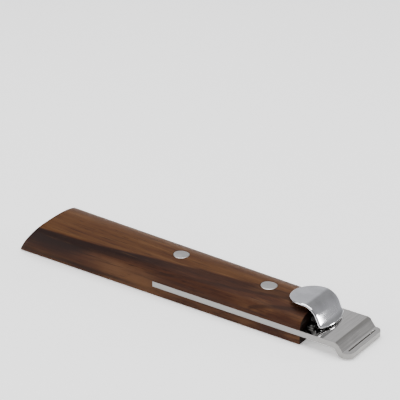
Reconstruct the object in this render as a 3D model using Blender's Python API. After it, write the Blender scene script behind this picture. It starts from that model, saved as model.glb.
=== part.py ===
"""A bread lame with a hardwood handle, a full-width steel blade plate and a sprung thumb clip.

Metres, +Z up. The lame lies on the handle's flat underside, +X runs towards the blade end and the
origin is under the middle of the whole length.
"""

import math

import bmesh
import bpy
from mathutils import Vector

# Overall
TOTAL_LENGTH = 0.1434
PLATE_REACH = 0.0194                                  # plate standing out of the handle's head end
HEAD_X = TOTAL_LENGTH / 2 - PLATE_REACH               # the handle's head end face
BUTT_X = -TOTAL_LENGTH / 2
FIT_GAP = 0.0001                                      # glue and rivet clearance round fixed pieces
RUNNING_GAP = 0.0003                                  # clearance beside pieces that turn

# Handle: flat underside, upright sides, round shoulders and a low crown that falls towards the head
HANDLE_WIDTH = 0.022
BUTT_HEIGHT = 0.0150
HEAD_HEIGHT = 0.0113
CROWN_RADIUS = 0.0210
SHOULDER_RADIUS = 0.0038
BUTT_SET_BACK = 0.0120                                # how far the butt's cut leans forward at the top
BUTT_BOW = 0.0014                                     # how far that cut bows outwards
EDGE_BREAK = 0.0003
CUT_MARGIN = 0.002                                    # how far cutters run past what they cut

# Blade plate
PLATE_THICKNESS = 0.0020
PLATE_MIDDLE_Z = 0.0043
PLATE_TOP = PLATE_MIDDLE_Z + PLATE_THICKNESS / 2
PLATE_BOTTOM = PLATE_MIDDLE_Z - PLATE_THICKNESS / 2
TANG_END_X = HEAD_X - 0.0614
JOGGLE_START = 0.0128                                 # from the handle's head end
JOGGLE_DROP = 0.0029
JOGGLE_ANGLE = math.radians(52)
JOGGLE_RADIUS = 0.0016
LIP_CORNER_RADIUS = 0.0026
LIP_GROOVE_X = HEAD_X + 0.0175
LIP_GROOVE_WIDTH = 0.0005
LIP_GROOVE_DEPTH = 0.0010
LIP_GROOVE_HALF_LENGTH = 0.0088

# Handle rivets, each a tubular top half over a solid lower half
RIVET_PLACES = {"rear": HEAD_X - 0.0566, "front": HEAD_X - 0.0195}
RIVET_HEAD_RADIUS = 0.0029
RIVET_HEAD_DEPTH = 0.0012
RIVET_BARREL_RADIUS = 0.0018
RIVET_BORE_RADIUS = 0.0011
RIVET_BORE_REACH = 0.0015                             # how far the bore runs above the plate
RIVET_PIN_RADIUS = 0.0010
RIVET_END_GAP = 0.0004                                # between the pin and the end of its bore
RIVET_SEAT_GAP = 0.0002
RIVET_SIDES = 28

# Thumb lever: a sheet with an S-shaped side view, its lobe round and its toe's front a flat arc in plan
LOBE_CENTRE_X = HEAD_X - 0.0021
LOBE_REACH = 0.0077                                   # from there back to the tip of the lobe
LEVER_HALF_WIDTH = 0.0076
TOE_FRONT_X = HEAD_X + 0.0074
TOE_FRONT_RADIUS = 0.0178
TOE_CORNER_RADIUS = 0.0006
LEVER_THICKNESS = 0.0009
LEVER_TOE_Z = 0.00612                                 # middle of the sheet at its toe
LOBE_TILT = math.radians(-4.0)
SLOPE_ANGLE = math.radians(64)
TOE_ANGLE = math.radians(6)
UPPER_BEND_RADIUS = 0.0062
LOWER_BEND_RADIUS = 0.0015
TOE_LENGTH = 0.0014
LOBE_MIDDLE_Z = 0.01305                               # middle of the sheet where the lobe starts to fall
LEVER_RINGS = 7                                       # loops of points from its rim to its middle

# Pivot
PIVOT_X = HEAD_X + 0.0019
PIVOT_Z = 0.0076
PIN_RADIUS = 0.0007
PIN_SIDES = 20
PIN_HALF_LENGTH = 0.0054
PIN_NECK_DEPTH = 0.0002
LUG_INNER_Y = 0.0027
LUG_THICKNESS = 0.0008
LUG_RADIUS = 0.00125
LUG_BORE_RADIUS = PIN_RADIUS + 0.00006
EAR_INNER_Y = LUG_INNER_Y + LUG_THICKNESS + RUNNING_GAP
EAR_THICKNESS = 0.0008
EAR_HALF_LENGTH = 0.00125
BRACKET_SHEET = 0.0006
BRACKET_FOOT_Y = 0.0077
BRACKET_RIVET_Y = 0.0064
BRACKET_RIVET_RADIUS = 0.0006
BRACKET_RIVET_HEAD_RADIUS = 0.0010
BRACKET_RIVET_HEAD_HEIGHT = 0.0004
RING_RADIUS = 0.0013
RING_THICKNESS = 0.0004
RING_GAP_ANGLE = math.radians(40)                     # half of the gap at the ring's foot
PIN_GROOVE_Y = 0.0048

# Torsion spring round the pin, between the lugs
SPRING_WIRE_RADIUS = 0.00022
SPRING_COIL_RADIUS = 0.00125
SPRING_WHOLE_TURNS = 3
SPRING_PITCH = 0.0006
SPRING_FOOT_LENGTH = 0.0015
SPRING_RISE_ANGLE = math.radians(35)                  # where on the coil the upper leg leaves
SPRING_RISE_LENGTH = 0.0037
SPRING_POINTS_PER_TURN = 14

WALNUT = ((0.090, 0.040, 0.020), 0.45, 0.0)
SATIN_STEEL = ((0.62, 0.61, 0.59), 0.32, 1.0)
CHROME = ((0.80, 0.80, 0.82), 0.06, 1.0)
SPRING_STEEL = ((0.35, 0.35, 0.36), 0.35, 1.0)


def clear_scene():
    for obj in list(bpy.data.objects):
        bpy.data.objects.remove(obj, do_unlink=True)


def material(name, finish):
    colour, roughness, metallic = finish
    made = bpy.data.materials.get(name) or bpy.data.materials.new(name)
    made.use_nodes = True
    shader = made.node_tree.nodes["Principled BSDF"]
    shader.inputs["Base Color"].default_value = (*colour, 1.0)
    shader.inputs["Roughness"].default_value = roughness
    shader.inputs["Metallic"].default_value = metallic
    return made


def add_object(name, bm, finish=None):
    """Links a closed bmesh as an object with outward faces."""
    bmesh.ops.remove_doubles(bm, verts=bm.verts, dist=1e-7)
    bmesh.ops.recalc_face_normals(bm, faces=bm.faces)
    mesh = bpy.data.meshes.new(name)
    bm.to_mesh(mesh)
    bm.free()
    obj = bpy.data.objects.new(name, mesh)
    bpy.context.collection.objects.link(obj)
    if finish:
        mesh.materials.append(material(name + "_finish", finish))
        mesh.shade_smooth()
        mesh.set_sharp_from_angle(angle=math.radians(30))
    else:
        obj.hide_render = True
        obj.display_type = "WIRE"
    return obj


def cut(obj, cutter, operation="DIFFERENCE"):
    modifier = obj.modifiers.new(cutter.name, "BOOLEAN")
    modifier.operation = operation
    modifier.object = cutter


def set_origin(obj, point):
    """Moves an object's origin to a point and leaves its shape where it is."""
    for vertex in obj.data.vertices:
        vertex.co -= point
    obj.location = point


def prism(points, axis, low, high):
    """A closed bmesh of an outline extruded along one axis (0 X, 1 Y, 2 Z).

    The outline's pairs are the other two coordinates in X, Y, Z order.
    """
    bm = bmesh.new()

    def place(pair, along):
        values = list(pair)
        values.insert(axis, along)
        return bm.verts.new(values)

    near = [place(pair, low) for pair in points]
    far = [place(pair, high) for pair in points]
    bm.faces.new(near)
    bm.faces.new(reversed(far))
    for i in range(len(points)):
        j = (i + 1) % len(points)
        bm.faces.new((near[j], near[i], far[i], far[j]))
    return bm


def box(low, high):
    outline = [(low[0], low[1]), (high[0], low[1]), (high[0], high[1]), (low[0], high[1])]
    return prism(outline, 2, low[2], high[2])


def turned(profile, centre, axis, sides):
    """A closed bmesh of a profile of (radius, height) pairs turned about an axis through centre."""
    bm = bmesh.new()
    axis = Vector(axis).normalized()
    first = axis.orthogonal().normalized()
    second = axis.cross(first)
    rings = []
    for radius, height in profile:
        middle = Vector(centre) + axis * height
        if radius == 0:
            rings.append([bm.verts.new(middle)])
            continue
        ring = []
        for i in range(sides):
            turn = math.tau * i / sides
            offset = first * math.cos(turn) + second * math.sin(turn)
            ring.append(bm.verts.new(middle + offset * radius))
        rings.append(ring)
    for lower, upper in zip(rings, rings[1:]):
        for i in range(sides):
            j = (i + 1) % sides
            corners = [lower[i % len(lower)], lower[j % len(lower)]]
            corners += [upper[j % len(upper)], upper[i % len(upper)]]
            unique = list(dict.fromkeys(corners))
            if len(unique) > 2:
                bm.faces.new(unique)
    return bm


def arc_points(centre, radius, start, end, steps):
    """Points on a circle from one angle to another, both included."""
    found = []
    for i in range(steps + 1):
        turn = start + (end - start) * i / steps
        found.append((centre[0] + radius * math.cos(turn), centre[1] + radius * math.sin(turn)))
    return found


# Handle

def handle_height(x):
    """Height of the crown's ridge above the underside."""
    along = (x - BUTT_X) / (HEAD_X - BUTT_X)
    return BUTT_HEIGHT + (HEAD_HEIGHT - BUTT_HEIGHT) * along


def handle_section(height):
    """The D-shaped outline (y, z) of the handle where its ridge has this height."""
    half = HANDLE_WIDTH / 2
    crown_centre = height - CROWN_RADIUS
    reach = CROWN_RADIUS - SHOULDER_RADIUS
    shoulder_y = half - SHOULDER_RADIUS
    shoulder_z = crown_centre + math.sqrt(reach ** 2 - shoulder_y ** 2)
    meet = math.atan2(shoulder_z - crown_centre, shoulder_y)
    side = arc_points((shoulder_y, shoulder_z), SHOULDER_RADIUS, 0.0, meet, 6)
    crown = arc_points((0.0, crown_centre), CROWN_RADIUS, meet, math.pi - meet, 14)
    right = [(half - EDGE_BREAK, 0.0), (half, EDGE_BREAK)] + side + crown[1:-1]
    left = [(-y, z) for y, z in reversed(side)] + [(-half, EDGE_BREAK), (-half + EDGE_BREAK, 0.0)]
    return right + left


def handle_envelope(start, end):
    """The handle's outer shape between two stations, closed at both ends."""
    bm = bmesh.new()
    rings = []
    for x in (start, end):
        rings.append([bm.verts.new((x, y, z)) for y, z in handle_section(handle_height(x))])
    bm.faces.new(rings[0])
    bm.faces.new(reversed(rings[1]))
    count = len(rings[0])
    for i in range(count):
        j = (i + 1) % count
        bm.faces.new((rings[0][i], rings[0][j], rings[1][j], rings[1][i]))
    return bm


def butt_cutter():
    """Takes off everything behind the slanting, slightly bowed cut of the butt."""
    over = 2 * CUT_MARGIN
    top = BUTT_HEIGHT
    steps = 10
    edge = []
    for i in range(steps + 1):
        t = i / steps
        bow = 4 * BUTT_BOW * t * (1 - t)
        edge.append((BUTT_X + BUTT_SET_BACK * t - bow * (1 - t), top * t))
    slope = (edge[-1][0] - edge[-2][0]) / (edge[-1][1] - edge[-2][1])
    outline = [(BUTT_X, -over)] + edge + [(edge[-1][0] + slope * over, top + over)]
    outline += [(BUTT_X - over, top + over), (BUTT_X - over, -over)]
    return prism(outline, 1, -HANDLE_WIDTH, HANDLE_WIDTH)


def rivet_seat(x):
    """Height of the shoulder that the rivet's upper head sits on."""
    return handle_height(x) - RIVET_HEAD_DEPTH - RIVET_SEAT_GAP


def rivet_hole(x):
    """The stepped hole right through the handle for one rivet."""
    head = RIVET_HEAD_RADIUS + FIT_GAP
    barrel = RIVET_BARREL_RADIUS + FIT_GAP
    top = BUTT_HEIGHT + CUT_MARGIN
    profile = [(0, -CUT_MARGIN), (head, -CUT_MARGIN), (head, RIVET_HEAD_DEPTH + FIT_GAP)]
    profile += [(barrel, RIVET_HEAD_DEPTH + FIT_GAP), (barrel, rivet_seat(x) - FIT_GAP)]
    profile += [(head, rivet_seat(x) - FIT_GAP), (head, top), (0, top)]
    return turned(profile, (x, 0, 0), (0, 0, 1), RIVET_SIDES)


def build_handle():
    handle = add_object("handle_block", handle_envelope(BUTT_X - CUT_MARGIN, HEAD_X), WALNUT)
    cut(handle, add_object("cut_butt", butt_cutter()))
    slot_low = (TANG_END_X - 2 * FIT_GAP, -HANDLE_WIDTH, PLATE_BOTTOM - FIT_GAP)
    slot_high = (HEAD_X + CUT_MARGIN, HANDLE_WIDTH, PLATE_TOP + FIT_GAP)
    cut(handle, add_object("cut_slot", box(slot_low, slot_high)))
    for place, x in RIVET_PLACES.items():
        cut(handle, add_object("cut_rivet_hole_" + place, rivet_hole(x)))


def build_handle_rivets():
    """Each rivet's tubular top half and the solid half that is driven into it from below."""
    guide = add_object("guide_handle", handle_envelope(BUTT_X, HEAD_X))
    bore_top = PLATE_TOP + RIVET_BORE_REACH
    pin_top = bore_top - RIVET_END_GAP
    over = BUTT_HEIGHT + CUT_MARGIN
    for place, x in RIVET_PLACES.items():
        foot = RIVET_HEAD_DEPTH + 2 * FIT_GAP
        upper = [(0, bore_top), (RIVET_BORE_RADIUS, bore_top), (RIVET_BORE_RADIUS, foot)]
        upper += [(RIVET_BARREL_RADIUS, foot), (RIVET_BARREL_RADIUS, rivet_seat(x))]
        upper += [(RIVET_HEAD_RADIUS, rivet_seat(x)), (RIVET_HEAD_RADIUS, over), (0, over)]
        name = "rivet_" + place
        top = add_object(name + "_top", turned(upper, (x, 0, 0), (0, 0, 1), RIVET_SIDES), SATIN_STEEL)
        cut(top, guide, "INTERSECT")
        lower = [(0, 0), (RIVET_HEAD_RADIUS, 0), (RIVET_HEAD_RADIUS, RIVET_HEAD_DEPTH)]
        lower += [(RIVET_PIN_RADIUS, RIVET_HEAD_DEPTH), (RIVET_PIN_RADIUS, pin_top), (0, pin_top)]
        add_object(name + "_bottom", turned(lower, (x, 0, 0), (0, 0, 1), RIVET_SIDES), SATIN_STEEL)


# Blade plate

def follow(start, pieces):
    """Points (x, z, angle) of a path of straights and arcs that starts level and turns downwards.

    A piece is (length,) for a straight, or (radius, angle, steps) for a bend that ends at the angle.
    The first point's angle is start's third value.
    """
    x, z, angle = start
    found = [start]
    for piece in pieces:
        if len(piece) == 1:
            x += piece[0] * math.cos(angle)
            z -= piece[0] * math.sin(angle)
            found.append((x, z, angle))
            continue
        radius, target, steps = piece
        turn = (target - angle) / steps
        chord = 2 * radius * math.sin(abs(turn) / 2)
        for _ in range(steps):
            x += chord * math.cos(angle + turn / 2)
            z -= chord * math.sin(angle + turn / 2)
            angle += turn
            found.append((x, z, angle))
    return found


def offset_outline(path, thickness):
    """The closed side view of a sheet of this thickness along a path."""
    half = thickness / 2
    upper = [(x + half * math.sin(angle), z + half * math.cos(angle)) for x, z, angle in path]
    lower = [(x - half * math.sin(angle), z - half * math.cos(angle)) for x, z, angle in path]
    return upper + lower[::-1]


def plate_path():
    fall = JOGGLE_DROP - 2 * JOGGLE_RADIUS * (1 - math.cos(JOGGLE_ANGLE))
    pieces = [(HEAD_X + JOGGLE_START - TANG_END_X,)]
    pieces += [(JOGGLE_RADIUS, JOGGLE_ANGLE, 6), (fall / math.sin(JOGGLE_ANGLE),)]
    pieces += [(JOGGLE_RADIUS, 0.0, 6)]
    path = follow((TANG_END_X, PLATE_MIDDLE_Z, 0.0), pieces)
    end_x, end_z, _ = path[-1]
    return path + [(max(TOTAL_LENGTH / 2, end_x + PLATE_THICKNESS / 2), end_z, 0.0)]


def plate_outline():
    """The plate seen from above, with the lip's two round corners."""
    half = HANDLE_WIDTH / 2
    front = TOTAL_LENGTH / 2
    radius = LIP_CORNER_RADIUS
    corner = (front - radius, half - radius)
    far = arc_points(corner, radius, math.pi / 2, 0.0, 8)
    near = [(x, -y) for x, y in reversed(far)]
    back = TANG_END_X - CUT_MARGIN
    return [(back, -half), (back, half)] + far + near


def build_plate():
    side = offset_outline(plate_path(), PLATE_THICKNESS)
    plate = add_object("blade_plate", prism(side, 1, -HANDLE_WIDTH, HANDLE_WIDTH), SATIN_STEEL)
    outline = add_object("guide_plate_outline", prism(plate_outline(), 2, -CUT_MARGIN, BUTT_HEIGHT))
    cut(plate, outline, "INTERSECT")
    lip_top = PLATE_TOP - JOGGLE_DROP
    low = (LIP_GROOVE_X - LIP_GROOVE_WIDTH / 2, -LIP_GROOVE_HALF_LENGTH, lip_top - LIP_GROOVE_DEPTH)
    high = (LIP_GROOVE_X + LIP_GROOVE_WIDTH / 2, LIP_GROOVE_HALF_LENGTH, lip_top + CUT_MARGIN)
    cut(plate, add_object("cut_lip_groove", box(low, high)))
    for place, x in RIVET_PLACES.items():
        cut_round_hole(plate, "cut_plate_hole_" + place, x, 0.0, RIVET_BARREL_RADIUS + FIT_GAP)
    for side_name, sign in (("near", -1), ("far", 1)):
        radius = BRACKET_RIVET_RADIUS + FIT_GAP / 2
        cut_round_hole(plate, "cut_bracket_hole_" + side_name, PIVOT_X, sign * BRACKET_RIVET_Y, radius)


def cut_round_hole(obj, name, x, y, radius):
    profile = [(0, -CUT_MARGIN), (radius, -CUT_MARGIN), (radius, HEAD_HEIGHT), (0, HEAD_HEIGHT)]
    cut(obj, add_object(name, turned(profile, (x, y, 0), (0, 0, 1), RIVET_SIDES)))


# Thumb lever

def lever_path():
    """The lever's side view, from the tip of its lobe to its toe, through the sheet's middle."""
    fall = LOBE_MIDDLE_Z - LEVER_TOE_Z
    fall -= UPPER_BEND_RADIUS * (math.cos(LOBE_TILT) - math.cos(SLOPE_ANGLE))
    fall -= LOWER_BEND_RADIUS * (math.cos(TOE_ANGLE) - math.cos(SLOPE_ANGLE))
    fall -= TOE_LENGTH * math.sin(TOE_ANGLE)
    straight = fall / math.sin(SLOPE_ANGLE)
    run = UPPER_BEND_RADIUS * (math.sin(SLOPE_ANGLE) - math.sin(LOBE_TILT))
    run += straight * math.cos(SLOPE_ANGLE)
    run += LOWER_BEND_RADIUS * (math.sin(SLOPE_ANGLE) - math.sin(TOE_ANGLE))
    run += TOE_LENGTH * math.cos(TOE_ANGLE)
    start_x = LOBE_CENTRE_X - LOBE_REACH
    lobe = TOE_FRONT_X - run - start_x
    start = (start_x, LOBE_MIDDLE_Z + lobe * math.tan(LOBE_TILT), LOBE_TILT)
    pieces = [(lobe / math.cos(LOBE_TILT),), (UPPER_BEND_RADIUS, SLOPE_ANGLE, 10), (straight,)]
    pieces += [(LOWER_BEND_RADIUS, TOE_ANGLE, 5), (TOE_LENGTH,)]
    return follow(start, pieces)


def sample_path(path, x):
    """(z, angle) of the path where it passes x."""
    for (x0, z0, a0), (x1, z1, a1) in zip(path, path[1:]):
        if x <= x1 or (x1, z1, a1) == path[-1]:
            t = min(max((x - x0) / (x1 - x0), 0.0), 1.0)
            return z0 + (z1 - z0) * t, a0 + (a1 - a0) * t
    return path[-1][1:]


def lever_outline():
    """The lever seen from above: a round lobe, straight sides and an arc across the toe."""
    lobe = []
    for x, y in arc_points((0.0, 0.0), 1.0, math.pi / 2, 1.5 * math.pi, 28):
        lobe.append((LOBE_CENTRE_X + LOBE_REACH * x, LEVER_HALF_WIDTH * y))
    front_centre = TOE_FRONT_X - TOE_FRONT_RADIUS
    corner_y = LEVER_HALF_WIDTH - TOE_CORNER_RADIUS
    corner_x = front_centre + math.sqrt((TOE_FRONT_RADIUS - TOE_CORNER_RADIUS) ** 2 - corner_y ** 2)
    meet = math.atan2(-corner_y, corner_x - front_centre)
    side = []
    for i in range(1, 12):
        side.append((LOBE_CENTRE_X + (corner_x - LOBE_CENTRE_X) * i / 12, -LEVER_HALF_WIDTH))
    corner = arc_points((corner_x, -corner_y), TOE_CORNER_RADIUS, -math.pi / 2, meet, 4)
    front = arc_points((front_centre, 0.0), TOE_FRONT_RADIUS, meet, 0.0, 8)
    near = side + corner + front[1:]
    return lobe + near + [(x, -y) for x, y in reversed(near[:-1])]


def lever_sheet():
    """The lever as loops of points shrinking to its middle, above and below the sheet's middle."""
    path = lever_path()
    half = LEVER_THICKNESS / 2
    outline = lever_outline()
    bm = bmesh.new()

    def point(flat, shrink, side):
        x = LOBE_CENTRE_X + (flat[0] - LOBE_CENTRE_X) * shrink
        z, angle = sample_path(path, x)
        place = (x + side * half * math.sin(angle), flat[1] * shrink, z + side * half * math.cos(angle))
        return bm.verts.new(place)

    def sheet(side):
        loops = []
        for k in range(LEVER_RINGS):
            loops.append([point(flat, 1 - k / LEVER_RINGS, side) for flat in outline])
        centre = point(outline[0], 0.0, side)
        for outer, inner in zip(loops, loops[1:]):
            join_loops(bm, outer, inner)
        for first, second in zip(loops[-1], loops[-1][1:] + loops[-1][:1]):
            bm.faces.new((first, second, centre))
        return loops[0]

    join_loops(bm, sheet(1), sheet(-1))
    return bm


def join_loops(bm, first, second):
    count = len(first)
    for i in range(count):
        j = (i + 1) % count
        bm.faces.new((first[i], first[j], second[j], second[i]))


def build_lever():
    pivot = Vector((PIVOT_X, 0, PIVOT_Z))
    lever = add_object("thumb_lever", lever_sheet(), CHROME)
    set_origin(lever, pivot)
    for side_name, sign in (("near", -1), ("far", 1)):
        inner, outer = sign * LUG_INNER_Y, sign * (LUG_INNER_Y + LUG_THICKNESS)
        outline = lug_outline()
        shape = prism(outline, 1, min(inner, outer), max(inner, outer))
        lug = add_object("lever_lug_" + side_name, shape, SATIN_STEEL)
        over = CUT_MARGIN
        profile = [(0, -over), (LUG_BORE_RADIUS, -over), (LUG_BORE_RADIUS, over), (0, over)]
        centre = (PIVOT_X, (inner + outer) / 2, PIVOT_Z)
        cutter = turned(profile, centre, (0, 1, 0), PIN_SIDES)
        cut(lug, add_object("cut_lug_bore_" + side_name, cutter))
        set_origin(lug, pivot)


def lug_outline():
    """A lug: round below the pin, its top following the lever's underside a weld gap away."""
    path = lever_path()
    drop = LEVER_THICKNESS / 2 + FIT_GAP
    top = []
    low_x, high_x = PIVOT_X - LUG_RADIUS, PIVOT_X + LUG_RADIUS
    for x, z, angle in path:
        under_x, under_z = x - drop * math.sin(angle), z - drop * math.cos(angle)
        if low_x < under_x < high_x and under_z > PIVOT_Z:
            top.append((under_x, under_z))
    left_z = interpolate_under(path, drop, low_x)
    right_z = interpolate_under(path, drop, high_x)
    round_foot = arc_points((PIVOT_X, PIVOT_Z), LUG_RADIUS, 0.0, -math.pi, 12)
    return [(low_x, left_z)] + top + [(high_x, right_z)] + round_foot


def interpolate_under(path, drop, x):
    """Height of the lever's underside, lowered by the weld gap, at x."""
    under = [(px - drop * math.sin(a), pz - drop * math.cos(a)) for px, pz, a in path]
    for (x0, z0), (x1, z1) in zip(under, under[1:]):
        if x0 <= x <= x1:
            return z0 + (z1 - z0) * (x - x0) / (x1 - x0)
    return under[-1][1]


# Pivot

def build_bracket():
    """Two ears on a base that runs across the plate, with a foot outside each ear."""
    low, high = PIVOT_X - EAR_HALF_LENGTH, PIVOT_X + EAR_HALF_LENGTH
    floor = PLATE_TOP + FIT_GAP
    inner, outer = EAR_INNER_Y, EAR_INNER_Y + EAR_THICKNESS
    top = PIVOT_Z + EAR_HALF_LENGTH
    right = [(BRACKET_FOOT_Y, floor), (BRACKET_FOOT_Y, floor + BRACKET_SHEET)]
    right += [(outer, floor + BRACKET_SHEET), (outer, top), (inner, top)]
    right += [(inner, floor + BRACKET_SHEET)]
    outline = right + [(-y, z) for y, z in reversed(right)]
    bracket = add_object("pivot_bracket", prism(outline, 0, low, high), SATIN_STEEL)
    half = outer + CUT_MARGIN
    radius = EAR_HALF_LENGTH
    crown = arc_points((PIVOT_X, PIVOT_Z), radius, 0.0, math.pi, 12)
    ear_side = [(low, 0.0), (high, 0.0)] + crown
    reach = BRACKET_FOOT_Y + CUT_MARGIN
    guide = add_object("guide_ear_round", prism(ear_side, 1, -reach, reach))
    cut(bracket, guide, "INTERSECT")
    bore = PIN_RADIUS + FIT_GAP / 4
    profile = [(0, -half), (bore, -half), (bore, half), (0, half)]
    cutter = turned(profile, (PIVOT_X, 0, PIVOT_Z), (0, 1, 0), PIN_SIDES)
    cut(bracket, add_object("cut_bracket_bore", cutter))
    for side_name, sign in (("near", -1), ("far", 1)):
        radius = BRACKET_RIVET_RADIUS + FIT_GAP / 2
        cut_round_hole(bracket, "cut_foot_hole_" + side_name, PIVOT_X, sign * BRACKET_RIVET_Y, radius)


def build_pin():
    """The pivot pin, necked at both ends for its retaining rings."""
    neck = PIN_RADIUS - PIN_NECK_DEPTH
    start = PIN_GROOVE_Y
    end = start + RING_THICKNESS + FIT_GAP
    half = [(neck, start), (neck, end), (PIN_RADIUS, end), (PIN_RADIUS, PIN_HALF_LENGTH)]
    profile = [(0, -PIN_HALF_LENGTH)] + [(r, -y) for r, y in reversed(half)]
    profile += [(PIN_RADIUS, -start), (PIN_RADIUS, start)] + half + [(0, PIN_HALF_LENGTH)]
    centre = (PIVOT_X, 0, PIVOT_Z)
    add_object("pivot_pin", turned(profile, centre, (0, 1, 0), PIN_SIDES), SATIN_STEEL)
    for side_name, sign in (("near", -1), ("far", 1)):
        inner = neck + FIT_GAP / 4
        low = sign * (start + FIT_GAP / 2)
        high = low + sign * RING_THICKNESS
        ring = ring_solid(inner, RING_RADIUS, low, high)
        add_object("pin_ring_" + side_name, ring, SPRING_STEEL)


def ring_solid(inner, outer, low, high):
    """An open retaining ring round the pin: a washer with a gap at its foot."""
    start = -math.pi / 2 + RING_GAP_ANGLE
    end = 1.5 * math.pi - RING_GAP_ANGLE
    centre = (PIVOT_X, PIVOT_Z)
    outline = arc_points(centre, outer, start, end, 22) + arc_points(centre, inner, end, start, 22)
    return prism(outline, 1, min(low, high), max(low, high))


def build_bracket_rivets():
    """Small rivets through the bracket's feet and the plate, flush below."""
    floor = PLATE_TOP + FIT_GAP + BRACKET_SHEET + FIT_GAP / 2
    for side_name, sign in (("near", -1), ("far", 1)):
        head = BRACKET_RIVET_HEAD_RADIUS
        profile = [(0, PLATE_BOTTOM), (BRACKET_RIVET_RADIUS, PLATE_BOTTOM)]
        profile += [(BRACKET_RIVET_RADIUS, floor), (head, floor)]
        dome = arc_points((0.0, 0.0), 1.0, math.radians(30), math.radians(75), 3)
        profile += [(head * r, floor + BRACKET_RIVET_HEAD_HEIGHT * h) for r, h in dome]
        profile += [(0, floor + BRACKET_RIVET_HEAD_HEIGHT)]
        shape = turned(profile, (PIVOT_X, sign * BRACKET_RIVET_Y, 0), (0, 0, 1), 16)
        add_object("bracket_rivet_" + side_name, shape, SATIN_STEEL)


def spring_route():
    """A coil round the pin, with one leg back along the bracket's base and one up to the lever."""
    start = math.radians(-90)
    sweep = math.tau * SPRING_WHOLE_TURNS + SPRING_RISE_ANGLE - start
    count = round(SPRING_POINTS_PER_TURN * sweep / math.tau)
    width = SPRING_PITCH * sweep / math.tau
    points = []
    for i in range(count + 1):
        turn = start + sweep * i / count
        y = width * (i / count - 0.5)
        x = PIVOT_X + SPRING_COIL_RADIUS * math.cos(turn)
        z = PIVOT_Z + SPRING_COIL_RADIUS * math.sin(turn)
        points.append((x, y, z))
    first_x, first_y, first_z = points[0]
    last_x, last_y, last_z = points[-1]
    foot = (first_x - SPRING_FOOT_LENGTH, first_y, first_z)
    rise_x = last_x - SPRING_RISE_LENGTH * math.sin(SPRING_RISE_ANGLE)
    rise_z = last_z + SPRING_RISE_LENGTH * math.cos(SPRING_RISE_ANGLE)
    return [foot] + points + [(rise_x, last_y, rise_z)]


def build_spring():
    curve = bpy.data.curves.new("torsion_spring", "CURVE")
    curve.dimensions = "3D"
    curve.bevel_depth = SPRING_WIRE_RADIUS
    curve.bevel_resolution = 2
    curve.use_fill_caps = True
    route = spring_route()
    spline = curve.splines.new("POLY")
    spline.points.add(len(route) - 1)
    for point, place in zip(spline.points, route):
        point.co = (*place, 1.0)
    curve.materials.append(material("torsion_spring_finish", SPRING_STEEL))
    spring = bpy.data.objects.new("torsion_spring", curve)
    bpy.context.collection.objects.link(spring)


def main():
    clear_scene()
    build_handle()
    build_handle_rivets()
    build_plate()
    build_lever()
    build_bracket()
    build_pin()
    build_bracket_rivets()
    build_spring()


main()
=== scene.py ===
"""Looks of a bread lame: walnut handle, stepped steel plate, flush rivets and a sprung chrome thumb clip.

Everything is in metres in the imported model's frame: +X towards the blade end, +Z up, the handle's
flat underside on Z = 0.
"""

import logging
import math
from dataclasses import dataclass, field
from enum import Enum

import bmesh
import bpy
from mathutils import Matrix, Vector


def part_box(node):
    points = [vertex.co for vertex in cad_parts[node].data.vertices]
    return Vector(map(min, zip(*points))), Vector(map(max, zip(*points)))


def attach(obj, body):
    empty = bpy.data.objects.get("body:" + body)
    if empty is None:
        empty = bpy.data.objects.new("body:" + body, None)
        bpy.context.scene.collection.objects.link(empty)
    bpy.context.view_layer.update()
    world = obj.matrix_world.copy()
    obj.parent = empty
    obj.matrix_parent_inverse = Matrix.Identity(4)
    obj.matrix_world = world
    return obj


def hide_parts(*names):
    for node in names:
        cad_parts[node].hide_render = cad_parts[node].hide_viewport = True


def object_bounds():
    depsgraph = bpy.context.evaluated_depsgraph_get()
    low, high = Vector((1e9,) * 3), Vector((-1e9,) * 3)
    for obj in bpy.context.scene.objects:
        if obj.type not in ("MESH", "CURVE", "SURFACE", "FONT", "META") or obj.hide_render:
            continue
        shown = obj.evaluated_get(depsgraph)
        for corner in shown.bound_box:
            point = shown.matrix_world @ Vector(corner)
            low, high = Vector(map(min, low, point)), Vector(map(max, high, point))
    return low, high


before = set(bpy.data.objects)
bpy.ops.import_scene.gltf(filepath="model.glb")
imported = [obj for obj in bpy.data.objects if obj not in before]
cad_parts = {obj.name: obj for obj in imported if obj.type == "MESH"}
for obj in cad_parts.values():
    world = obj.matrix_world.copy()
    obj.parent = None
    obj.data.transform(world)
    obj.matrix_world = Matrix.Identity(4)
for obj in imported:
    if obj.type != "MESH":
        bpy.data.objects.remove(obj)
CAD_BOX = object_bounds()

MILLIMETRES = 1000.0
MERGE_DISTANCE = 1e-7
WELD_DISTANCE = 1e-6
AREA_WEIGHT = 80

log = logging.getLogger("bread_lame")


class Part(Enum):
    """The two bodies of the clip's hinge."""

    HANDLE = "handle"
    LEVER = "lever"


class Slot(Enum):
    """The record's material slots."""

    WOOD = "handle_wood"
    SATIN_STEEL = "satin_steel"
    RIVET_STEEL = "rivet_steel"
    CHROME = "lever_chrome"
    SPRING_STEEL = "spring_steel"


# ---------------------------------------------------------------------------------------------
# Shader tools
# ---------------------------------------------------------------------------------------------


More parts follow.
